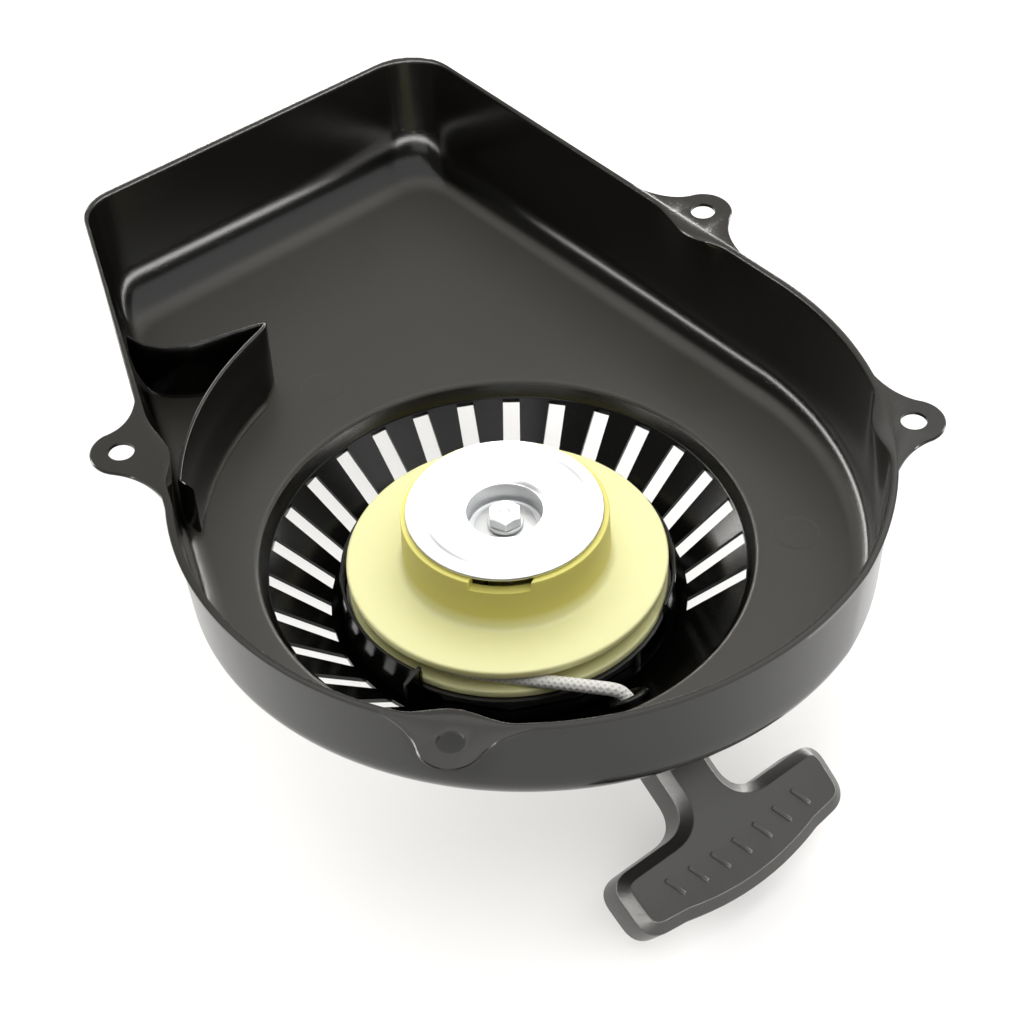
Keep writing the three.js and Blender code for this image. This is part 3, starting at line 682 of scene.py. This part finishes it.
def outline_radius(inset, far, side, far_radius, side_radius):
    """The plan outline of the scroll and its drawn-out corner, read as radius by azimuth."""
    sizes = bpy.context.scene.starter_housing
    rim, end = sizes.rim_radius / MM, sizes.scroll_end / MM
    points = [Vector(polar(rim - inset(a), a)) for a in np.arange(-30, TANGENT_ANGLE, 1.0)]
    tangent = polar(rim - inset(TANGENT_ANGLE), TANGENT_ANGLE)
    stop = polar(end - inset(SCROLL_END_ANGLE), SCROLL_END_ANGLE)
    points.append(Vector(tangent))
    points += corner_arc(tangent, far, side, far_radius)
    points += corner_arc(far, side, stop, side_radius)
    for turn in range(SCROLL_SPAN):
        azimuth = SCROLL_END_ANGLE + turn
        points.append(Vector(polar(end + (rim - end) * turn / SCROLL_SPAN - inset(azimuth), azimuth)))
    line = evenly(points + [points[0]], 0.5)
    angle = np.degrees([atan2(p.y, p.x) for p in line]) % 360
    order = np.argsort(angle)
    radius = np.array([p.length for p in line])[order]
    return lambda a: float(np.interp(a % 360, angle[order], radius, period=360))


def floor_inset(angle):
    """How far the foot of the wall stands in from the rim."""
    return 16 - 4 * cos(2 * radians(angle + 8))


def apart(a, b):
    return abs((a - b + 180) % 360 - 180)


def dent(angle):
    """How far the top of the wall is pressed in beside each ear."""
    total = 0.0
    for x, y, _ in EARS:
        along = radians(apart(angle, bearing(x, y))) * hypot(x, y)
        if along < DENT_HALF_WIDTH:
            total += DENT_DEPTH * cos(pi / 2 * along / DENT_HALF_WIDTH) ** 2
    return total


def wall_rows(foot, top, pressed):
    """The sweep from the floor up into the wall, which leans in toward its top beside an ear."""
    bend = 0.78 * (top - foot)
    draft = atan2(top - foot - 0.8 * bend, RIM_Z - SHEET - FLOOR_Z)
    rows = []
    for i in range(15):
        turn = (pi / 2 - draft) * i / 14
        rows.append((foot + bend * sin(turn), FLOOR_Z + bend * (1 - cos(turn))))
    r, z = rows[-1]
    for t in (0.12, 0.25, 0.4, 0.55, 0.7, 0.85, 0.96):
        rows.append((r + (top - r) * t - pressed * t**1.6, z + (RIM_Z - 0.5 - z) * t))
    return rows


def housing_section(foot, top, rim, pressed):
    """Half a section of the sheet: its inside from the middle out, over the rim, and its outside back."""
    cone_top = (CONE_FOOT + CONE_RUN, SHEET + CONE_RISE)
    corners = [(0, SHEET), (30, SHEET), (CONE_FOOT, SHEET), cone_top, (77.2, FLOOR_Z), (foot, FLOOR_Z)]
    bowl = [tuple(point) for point in softened(corners, 2.2, False, 5)]
    cone = [(CONE_FOOT + CONE_RUN * t, SHEET + CONE_RISE * t) for t in (0.3, 0.5, 0.7)]
    split = next(i for i, point in enumerate(bowl) if point[0] > CONE_FOOT + 3.4)
    inside = bowl[:split] + cone + bowl[split:-1]
    flat = inside[-1][0]
    inside += [(flat + (foot - flat) * t, FLOOR_Z) for t in (0.35, 0.7)]
    inside += wall_rows(foot, top, pressed)
    top -= pressed
    rows = []
    for i, (r, z) in enumerate(inside):
        before, after = inside[max(i - 1, 0)], inside[min(i + 1, len(inside) - 1)]
        dr, dz = after[0] - before[0], after[1] - before[1]
        size = hypot(dr, dz)
        rows.append((r + SHEET * dz / size, z - SHEET * dr / size))
    rows[0] = (0, 0)
    edge = [(top, RIM_Z - 0.5), (top + 0.25, RIM_Z - 0.1), (top + 0.6, RIM_Z), (rim - 0.5, RIM_Z)]
    edge += [(rim - 0.1, RIM_Z - 0.2), (rim, RIM_Z - 0.6), (rim - 0.1, RIM_Z - 1.0)]
    edge += [(rim - 0.5, RIM_Z - SHEET), (top + SHEET + 0.35, RIM_Z - SHEET - 0.05)]
    edge += [(top + SHEET, RIM_Z - SHEET - 0.5)]
    return inside + edge + rows[::-1]


def housing_columns():
    """The azimuths of the shell's sections, which stand closer at the corners and the ears."""
    angles = set(np.round(np.arange(0, 360, 1.25), 2))
    close = [(bearing(x, y), 7, 0.4) for x, y in (FAR_CORNER, SIDE_CORNER)]
    close += [(bearing(x, y), 9, 0.75) for x, y, _ in EARS]
    for centre, reach, step in close:
        angles |= {round((centre + d) % 360, 2) for d in np.arange(-reach, reach, step)}
    ordered = sorted(angles)
    return [a for i, a in enumerate(ordered) if i == 0 or a - ordered[i - 1] > 0.2]


def ear_plate(x, y, facing, rim):
    """A flat ear whose sides sweep out into the rim on either side of it."""
    centre = Vector((x, y))
    toward = bearing(x, y)

    def on_rim(along, inset):
        angle = toward + degrees(along / centre.length)
        return Vector(polar(rim(angle) - inset, angle))

    def sweep(side):
        shoulder = centre + Vector(polar(EAR_RADIUS, facing + side * EAR_SHOULDER_ANGLE))
        swell = on_rim(side * EAR_SWELL_AT, -EAR_SWELL)
        foot = on_rim(side * EAR_ROOT, EAR_TUCK)
        return [quadratic(shoulder, swell, foot, t) for t in np.linspace(0, 1, 17)]

    outline = sweep(-1)[::-1]
    outline += [centre + Vector(polar(EAR_RADIUS, facing + a)) for a in np.arange(-54, 55, 6)]
    outline += sweep(1)
    outline += [on_rim(along, EAR_OVERLAP) for along in range(EAR_ROOT, -EAR_ROOT - 1, -4)]
    levels = [(0.35, -SHEET + 0.01), (0, -SHEET + 0.35), (0, -0.35), (0.35, -0.01)]

    def place(ring, column):
        inset, z = levels[ring]
        out = outline[column] - centre
        spot = centre + out * (1 - inset / max(out.length, 1))
        return spot.x, spot.y, RIM_Z + z

    return drawn_rings("ear", len(outline), len(levels), place, capped=True)


def wall_lines():
    """The rim and the foot of the wall, each read as a radius by azimuth."""
    rim = outline_radius(lambda a: 0, FAR_CORNER, SIDE_CORNER, 18.5, 16)
    far = (FAR_CORNER[0] + 1.6, FAR_CORNER[1] - 29.6)
    side = (SIDE_CORNER[0] + 17, SIDE_CORNER[1] - 20)
    return rim, outline_radius(floor_inset, far, side, 12, 12)


def wall_height(spot, rim, foot):
    """How high the wall's inner face stands over a point in plan."""
    angle = bearing(spot.x, spot.y)
    edge = bpy.context.scene.starter_housing.rim_width / MM
    rows = wall_rows(foot(angle), rim(angle) - edge, dent(angle))
    return float(np.interp(spot.length, [r for r, _ in rows], [z for _, z in rows]))


def housing_shell():
    sizes = bpy.context.scene.starter_housing
    rim, foot = wall_lines()
    angles = housing_columns()
    sections = []
    for angle in angles:
        edge = rim(angle)
        top = edge - sizes.rim_width / MM
        sections.append(housing_section(foot(angle), top, edge, dent(angle)))

    def place(ring, column):
        r, z = sections[column][ring]
        x, y = polar(r, angles[column])
        return x, y, z

    shell = drawn_rings("fan_housing_shell", len(angles), len(sections[0]), place, angle=30)
    shell = carved(shell, [ear_plate(x, y, facing, rim) for x, y, facing in EARS], "UNION", 30)
    slot = rounded_block("slot", (SLOT_LENGTH, sizes.slot_width / MM, 34), 1.1)
    tools = []
    for i in range(sizes.slots):
        place_of_slot = turn_about_z(FIRST_SLOT_ANGLE + SLOT_PITCH * i, SLOT_MIDDLE, 0, 12)
        tools.append(copied(slot, place_of_slot, f"slot_{i}"))
    bpy.data.objects.remove(slot)
    for x, y, _ in EARS:
        hole = rod("hole", sizes.ear_hole / MM, 60, 70, 40)
        tools.append(placed(hole, Matrix.Translation((x, y, 0))))
    tools.append(placed(rod("hole", GUIDE_HOLE, -6, 6, 40), GUIDE_FRAME @ Z_TO_X))
    return carved(shell, tools, "DIFFERENCE", 30)


def air_guide_line():
    """The guide's line in plan, and the number of its points that come before the fold."""
    leg = [Vector(point) for point in AIR_GUIDE_LEG]
    scroll = []
    first, last = 109, 97.5
    for angle in np.arange(133.5, 178.1, 2.5):
        share = (angle - 133) / 45
        radius = first + (last - first) * share**0.8 + SHEET / 2
        scroll.append(Vector(polar(radius, angle)))
    return evenly(leg + scroll, 2.0), len(evenly(leg, 2.0))


def air_guide_sheet():
    """A bent sheet: a curved leg from the wall, a tight fold, and a leg that closes the scroll."""
    line, fold = air_guide_line()
    count = len(line)
    half = SHEET / 2
    rim, wall_foot = wall_lines()

    def place(ring, column):
        point = line[ring]
        ahead = (line[min(ring + 1, count - 1)] - line[max(ring - 1, 0)]).normalized()
        side = Vector((ahead.y, -ahead.x))
        share = min(ring / fold, 1)
        top = 46 + 6 * share**1.5
        wall = wall_height(point * (1 + 1.6 / point.length), rim, wall_foot)
        foot = min(max(FLOOR_Z, wall) + AIR_GUIDE_CLEARANCE, top - 2.4)
        bottom = foot + min(5, (top - foot) / 3)
        middle = (foot + top) / 2
        flare = AIR_GUIDE_FLARE * min(max(0, ring - fold) / 4, 1)
        levels = [(-half, foot), (-half, bottom), (-half, middle), (-half, top - 0.3)]
        levels += [(-half + 0.3, top), (half - 0.3, top)]
        levels += [(half, top - 0.3), (half, middle), (half, bottom), (half, foot)]
        out, z = levels[column]
        low = max(0, 1 - (z - foot) / 8)
        spot = point - side * (out + flare * low**2)
        return spot.x, spot.y, z

    return drawn_rings("air_guide_sheet", 10, count, place, angle=50, capped=True)


def reel_case_cup():
    """The plain cup round the reel, with a long window toward the rope guide and one tab in it."""
    profile = [
        (5.5, 1.5), (52.3, 1.5, 1.5), (52.3, 17.6), (51.2, 17.6), (51.2, 2.7, 1), (5.5, 2.7),
    ]
    cup = turned("reel_case_cup", profile, 128)

    def place(ring, column):
        return (*window_outline(column), 4 + 20 * ring)

    carved(cup, [drawn_rings("window", 30, 2, place, capped=True)])
    tab = rounded_block("tab", (8, 9.5, 1.2), 1.4)
    placed(tab, turn_about_z(-123, 55, 0, 14.2) @ Matrix.Rotation(pi / 2, 4, "X"))
    return carved(cup, [tab], "UNION")


def window_outline(column):
    """Fifteen points along the window's outer side and fifteen back along its inner side."""
    outer = column < 15
    step = column if outer else 29 - column
    return polar(56 if outer else 48, -122 + 98 * step / 14)


# ---------- reel and its hub ----------
def reel_body():
    sizes = bpy.context.scene.starter_reel
    flange, hub = sizes.flange / MM, sizes.hub / MM
    profile = [
        (9.1, 4.8), (12.5, 4.8), (12.5, 10.8), (flange, 10.8, 0.8), (flange, 13.6, 0.8), (22, 13.6, 1),
        (22, 19, 1), (flange, 19, 0.8), (flange, 22, 0.9), (hub + 0.4, 22, 2.2), (hub, 40.3, 0.4),
        (hub - 3.1, 40.3, 0.4), (hub - 3.1, 27, 0.8), (15.2, 27, 0.8), (15.2, 39.9, 0.3), (13.4, 39.9, 0.3),
        (13.4, 31.5, 0.5), (9.1, 31.5),
    ]
    reel = turned("reel_body", profile, 160, 0.3, 4)
    tools = []
    for azimuth in PAWL_AZIMUTHS:
        window = rounded_block("pawl_window", (15, 17.5, 8), 0.6)
        tools.append(placed(window, turn_about_z(azimuth, 27.5, 11.2, 41.2)))
    notch = rounded_block("notch", (3.6, 3.2, 6), 0.6)
    tools.append(placed(notch, turn_about_z(69.5, flange, 0, 21)))
    radius, azimuth = REEL_KNOT
    tools.append(placed(rod("knot_pocket", 4.4, 9.8, 14.6, 32), turn_about_z(azimuth, radius)))
    return carved(reel, tools)


def guide_disc():
    sizes = bpy.context.scene.starter_reel
    plate = sizes.plate / MM
    profile = [
        (3.6, 32.4), (12.9, 32.4, 0.9), (12.9, 40.6, 0.8), (plate, 40.6, 0.35), (plate, 41.8, 0.5),
        (26.6, 41.8, 0.3), (25.8, 41.35, 0.3), (25.2, 41.35, 0.3), (24.4, 41.8, 0.3),
        (13.2, 41.8, 1.2), (11.7, 40.8, 0.8), (11.7, 33.6, 0.8), (3.6, 33.6),
    ]
    disc = turned("guide_disc", profile, 160, 0.3, 4)
    lugs = []
    for azimuth in PAWL_AZIMUTHS:
        lugs.append(placed(rod("lug", 1.2, 34, 41, 24, 0.3), turn_about_z(azimuth + 48, 17)))
    return carved(disc, lugs, "UNION")


def hex_bolt():
    """A hex head with a chamfered top, a shallow dished mark and a plain shank."""
    deselect()
    centre = (0, 0, 38.4 * MM)
    bpy.ops.mesh.primitive_cylinder_add(vertices=6, radius=5.48 * MM, depth=3.6 * MM, location=centre)
    head = settled(named("centre_bolt_hex"))
    chamfer = turned("chamfer", [(0, 36), (7, 36), (7, 38.6), (4.5, 40.25, 0.3), (0, 40.25)], 64, 0.1)
    carved(head, [chamfer], "INTERSECT")
    eased(head, 0.18)
    mark = turned("mark", [(0, 39.6), (1.5, 39.6, 0.5), (2.3, 42), (0, 42)], 48, 0.2)
    carved(head, [mark])
    return carved(head, [rod("shank", 2.6, 8, 37.5, 40, 0.3)], "UNION")


# ---------- rope ----------
def rope_exit():
    """The azimuth at which the rope leaves the coil on a straight run to the guide."""
    return GUIDE_AZIMUTH - degrees(acos(COIL_OUTER / hypot(GUIDE.x, GUIDE.y)))


def wound_rope():
    leave = rope_exit()
    points = []
    for i in range(int(COIL_TURNS * COIL_STEPS) + 1):
        share = i / (COIL_TURNS * COIL_STEPS)
        radius = COIL_OUTER - (COIL_OUTER - COIL_INNER) * share
        x, y = polar(radius, leave - 360 * COIL_TURNS * share)
        points.append(Vector((x, y, ROPE_Z)))
    size = bpy.context.scene.starter_rope.radius / MM
    return cord("rope_turns", points, size, 10, 2.4)


def bezier(a, b, c, d, steps):
    points = []
    for i in range(1, steps + 1):
        t = i / steps
        points.append(a * (1 - t) ** 3 + b * 3 * t * (1 - t) ** 2 + c * 3 * t * t * (1 - t) + d * t**3)
    return points


def pull_rope():
    """Straight off the coil, round the lip of the guide, and straight on to the handle."""
    start = Vector((*polar(COIL_OUTER, rope_exit()), ROPE_Z))
    mouth = Vector((GUIDE.x, GUIDE.y, ROPE_Z))
    straight_end = start.lerp(mouth, 0.8)
    points = [start.lerp(straight_end, i / 8) for i in range(9)]
    ahead = start.lerp(mouth, 0.92)
    points += bezier(straight_end, ahead, GUIDE - HANDLE_AXIS * 4, GUIDE + HANDLE_AXIS * 0.4, 12)
    points.append(GUIDE + HANDLE_AXIS * 46.5)
    size = bpy.context.scene.starter_rope.radius / MM
    return cord("pull_rope", points, size, 24, 0.5)


def knot(name, size):
    """A stopper knot: one cord in a trefoil, drawn tight."""
    points = []
    for i in range(72):
        t = 2 * pi * i / 72
        x, y = sin(t) + 2 * sin(2 * t), cos(t) - 2 * cos(2 * t)
        points.append(Vector((x, y, -1.1 * sin(3 * t))) * size)
    return cord(name, points, 1.75, 12, 0.6)


def eyelet():
    profile = [
        (3.5, 2.9, 0.5), (3.5, -0.8, 1), (4.1, -1.8, 0.6), (5.1, -2.2, 0.6), (6.3, -2, 0.5),
        (6.9, -1.4, 0.4), (6.8, -0.7, 0.3), (5.2, -0.6), (5.2, 1.9), (7.4, 1.9, 0.3), (7.4, 2.9, 0.5),
    ]
    ring = turned("rope_eyelet", profile, 72, 0.2)
    return placed(ring, GUIDE_FRAME @ Z_TO_X)


# ---------- handle ----------
def grip_outline():
    """The T outline as (along the rope, across it, radius of the corner)."""
    bow = [(65.5 - 5.6 * (v / 33) ** 2, v, 0) for v in range(-26, 27, 4)]
    left = [(13, -9, 6.4), (40, -9, 9.5), (40, -41, 7)]
    right = [(along, -v, corner) for along, v, corner in reversed(left)]
    return left + [(60.4, -40.2, 8)] + bow + [(60.4, 40.2, 8)] + right


def handle_body():
    sizes = bpy.context.scene.starter_handle
    half, edge = sizes.thickness / MM / 2, sizes.edge / MM
    line = softened(grip_outline(), 1, True, 10)
    line = evenly(line + [line[0]], 1.15)[:-1]
    count = len(line)
    inward = []
    for i in range(count):
        ahead = (line[(i + 1) % count] - line[i - 1]).normalized()
        inward.append(Vector((-ahead.y, ahead.x)))
    rim = softened([(edge + 4, -half), (edge, -half, 0.9), (0, -half + edge, 0.9), (0, 0)], 0, False, 4)[1:]
    levels = [tuple(p) for p in rim] + [(inset, -w) for inset, w in reversed(rim[:-1])]

    def place(ring, column):
        inset, w = levels[ring]
        p = line[column] + inward[column] * inset
        return p.x, p.y, w

    grip = drawn_rings("grip_body", count, len(levels), place, angle=40, capped=True)
    bore = placed(rod("bore", 2.6, -21, 21, 32), Matrix.Translation((28, 0, 0)) @ Z_TO_X)
    pocket = placed(rounded_block("pocket", (12, 11, 16.4), 2), Matrix.Translation((52, 0, -3)))
    carved(grip, [bore], angle=40)
    carved(grip, [pocket], angle=40)
    ribs = []
    for i in range(RIBS):
        across = RIB_PITCH * (i - RIBS // 2)
        move = Matrix.Translation((53.2 - 0.02 * across**2 / 8, across, half))
        rib = rounded_block("rib", (7.0, 1.3, 1.0), 0.6)
        ribs.append(placed(rib, move @ Matrix.Rotation(radians(24), 4, "Z")))
    joined(grip, eased(joined(*ribs), 0.25))
    bpy.ops.object.shade_smooth_by_angle(angle=radians(40))
    return placed(grip, HANDLE_FRAME)


# ---------- operators ----------
class StarterOperator:
    bl_options = {"REGISTER", "UNDO"}


class STARTER_OT_stage(StarterOperator, bpy.types.Operator):
    """Camera, pale floor and soft studio light"""

    bl_idname = "starter.stage"
    bl_label = "Stage"

    def execute(self, context):
        sizes = context.scene.starter_stage
        self.camera(context)
        deselect()
        bpy.ops.mesh.primitive_plane_add(size=9, location=(0, 0, CAD_BOX[0].z - 0.0005))
        floor = settled(named("floor"))
        ground = Finish("pale_floor", tuple(sizes.floor), 0.8)
        ground.set("Roughness", 0.7 + ground.noise(8) * 0.2)
        coat(floor, ground.material)
        self.sky(context, sizes)
        self.lamps()
        context.scene.view_settings.view_transform = "Standard"
        return {"FINISHED"}

    def camera(self, context):
        elevation, roll = radians(44.1115), radians(2.9854)
        se, ce, sr, cr = sin(elevation), cos(elevation), sin(roll), cos(roll)
        right = Vector((cr, -se * sr, -ce * sr))
        up = Vector((sr, se * cr, ce * cr))
        back = Vector((0, -ce, se))
        bpy.ops.object.camera_add()
        camera = context.object
        camera.name = "camera"
        camera.data.lens = 90.77
        camera.data.sensor_width = 36
        camera.data.clip_end = 20
        matrix = Matrix((right, up, back)).transposed().to_4x4()
        matrix.translation = Vector((0.0022, -0.5655, 0.588))
        camera.matrix_world = matrix
        context.scene.camera = camera

    def sky(self, context, sizes):
        """A dim dome with a bright band low all round, and a lighter side behind the object."""
        world = bpy.data.worlds.new("studio")
        context.scene.world = world
        world.use_nodes = True
        tree = world.node_tree
        background = tree.nodes["Background"]
        nodes = Nodes(tree)
        toward = nodes.node("ShaderNodeTexCoord", output="Generated")
        up = nodes.node("ShaderNodeSeparateXYZ", None, {0: toward}, output="Z")
        rear = nodes.node("ShaderNodeSeparateXYZ", None, {0: toward}, output="Y")
        band = nodes.range(up, 0.11, 0.15) * nodes.range(up, 0.24, 0.31, 1.0, 0.0)
        dome = sizes.sky + nodes.range(rear, 0.1, 0.7, 0.0, 0.7)
        nodes.wire(background.inputs["Strength"], dome + band * sizes.horizon)
        background.inputs["Color"].default_value = (1.0, 0.985, 0.95, 1)

    def lamps(self):
        for name, spot, size, power in (
            ("key", (0.25, 0.1, 1.5), 2.3, 28.0),
            ("fill", (-0.35, -1.5, 0.7), 1.1, 6.0),
        ):
            bpy.ops.object.light_add(type="AREA", location=spot)
            lamp = bpy.context.object
            lamp.name = name
            lamp.data.energy = power
            lamp.data.size = size
            lamp.rotation_euler = (-Vector(spot)).to_track_quat("-Z", "Y").to_euler()


class STARTER_OT_rope(StarterOperator, bpy.types.Operator):
    """Wound rope, pull rope and both knots"""

    bl_idname = "starter.rope"
    bl_label = "Rope"

    def execute(self, context):
        fibre = braided(tuple(context.scene.starter_rope.fibre))
        shown(coat(wound_rope(), fibre), "reel", "rope_winding", "rope_winding")
        rope = coat(pull_rope(), fibre)
        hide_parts("rope_lead", "rope_tail")
        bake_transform(rope)
        in_grip = HANDLE_FRAME @ Matrix.Translation((HANDLE_KNOT_OUT, 0, 0)) @ Z_TO_X
        stopper = placed(knot("stopper_knot", 0.72), in_grip)
        shown(coat(stopper, fibre), "handle", "handle_knot", "handle_knot")
        in_reel = Matrix.Translation((*polar(*REEL_KNOT), 12.2))
        anchor = placed(knot("reel_knot", 0.66), in_reel @ Matrix.Scale(0.42, 4, (0, 0, 1)))
        shown(coat(anchor, fibre), "reel", "anchor_knot", "anchor_knot")
        return {"FINISHED"}


class STARTER_OT_housing(StarterOperator, bpy.types.Operator):
    """Pressed fan housing, air guide, reel case and rope eyelet"""

    bl_idname = "starter.housing"
    bl_label = "Housing"

    def execute(self, context):
        colour = tuple(context.scene.starter_housing.paint)
        paint = black_paint(colour, spots=((89.7, -1.1, 7.5), (-58.4, 78.3, 7.5)))
        shown(coat(housing_shell(), paint), "housing", "fan_housing", "fan_housing")
        shown(coat(air_guide_sheet(), paint), "housing", "air_guide", "air_guide")
        shown(coat(reel_case_cup(), paint), "housing", "reel_case", "reel_case")
        shown(coat(eyelet(), paint), "housing", "rope_guide", "rope_guide")
        return {"FINISHED"}


class STARTER_OT_reel(StarterOperator, bpy.types.Operator):
    """Nylon reel, bright guide plate, bolt and washers"""

    bl_idname = "starter.reel"
    bl_label = "Reel"

    def execute(self, context):
        sizes = context.scene.starter_reel
        shown(coat(reel_body(), cream_nylon(tuple(sizes.nylon))), "reel", "reel", "reel")
        zinc = plated(tuple(sizes.zinc))
        shown(coat(guide_disc(), zinc), "guide_plate", "guide_plate", "guide_plate")
        steel = plated((0.74, 0.75, 0.74), "plated_washer", 0.3)
        shown(coat(hex_bolt(), zinc), "housing", "centre_bolt", "centre_bolt")
        dished = turned("dished_washer", [(3, 33.9), (9.6, 33.9), (9.6, 34.5), (3, 35.1)], 72, 0.15)
        shown(coat(dished, steel), "housing", "brake_washer", "brake_washer")
        flat = turned("flat_washer", [(3, 35.4), (5.6, 35.4), (5.6, 36.4), (3, 36.4)], 72, 0.2)
        shown(coat(flat, steel), "housing", "lock_washer", "lock_washer")
        return {"FINISHED"}


class STARTER_OT_handle(StarterOperator, bpy.types.Operator):
    """T grip with its rounded edges and raised ribs"""

    bl_idname = "starter.handle"
    bl_label = "Handle"

    def execute(self, context):
        rubber = grip_rubber(tuple(context.scene.starter_handle.rubber))
        shown(coat(handle_body(), rubber), "handle", "handle_grip", "handle_grip")
        return {"FINISHED"}


class STARTER_OT_fittings(StarterOperator, bpy.types.Operator):
    """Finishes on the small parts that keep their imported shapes"""

    bl_idname = "starter.fittings"
    bl_label = "Small fittings"

    def execute(self, context):
        bright = bare_steel("bright_steel", 0.62, 0.28)
        dark = bare_steel("hardened_steel", 0.2, 0.38)
        for name in ("centre_post", "spring_anchor", "knot_washer"):
            coat_node(name, bright)
        for number in (1, 2):
            coat_node(f"pawl_{number}", bright)
            coat_node(f"pawl_pin_{number}", bright)
            coat_node(f"pawl_spring_{number}", dark)
        for name in ("recoil_spring", "spring_cover"):
            coat_node(name, dark)
        coat_node("reel_bushing", white_nylon())
        return {"FINISHED"}


class STARTER_PT_panel(bpy.types.Panel):
    bl_label = "Recoil Starter"
    bl_idname = "STARTER_PT_panel"
    bl_space_type = "VIEW_3D"
    bl_region_type = "UI"
    bl_category = "Starter"

    def draw(self, context):
        for operator in OPERATORS:
            self.layout.operator(operator.bl_idname)
        for group in GROUPS:
            box = self.layout.box()
            for key in getattr(context.scene, group).bl_rna.properties.keys():
                if key not in ("name", "rna_type"):
                    box.prop(getattr(context.scene, group), key)


OPERATORS = (
    STARTER_OT_stage,
    STARTER_OT_rope,
    STARTER_OT_housing,
    STARTER_OT_reel,
    STARTER_OT_handle,
    STARTER_OT_fittings,
)


def register():
    for cls in (*GROUPS.values(), *OPERATORS, STARTER_PT_panel):
        bpy.utils.register_class(cls)
    for name, group in GROUPS.items():
        setattr(bpy.types.Scene, name, PointerProperty(type=group))


def unregister():
    for name in GROUPS:
        delattr(bpy.types.Scene, name)
    for cls in reversed((*GROUPS.values(), *OPERATORS, STARTER_PT_panel)):
        bpy.utils.unregister_class(cls)


def main():
    register()
    for operator in OPERATORS:
        group, name = operator.bl_idname.split(".")
        getattr(getattr(bpy.ops, group), name)()


if __name__ == "__main__":
    main()
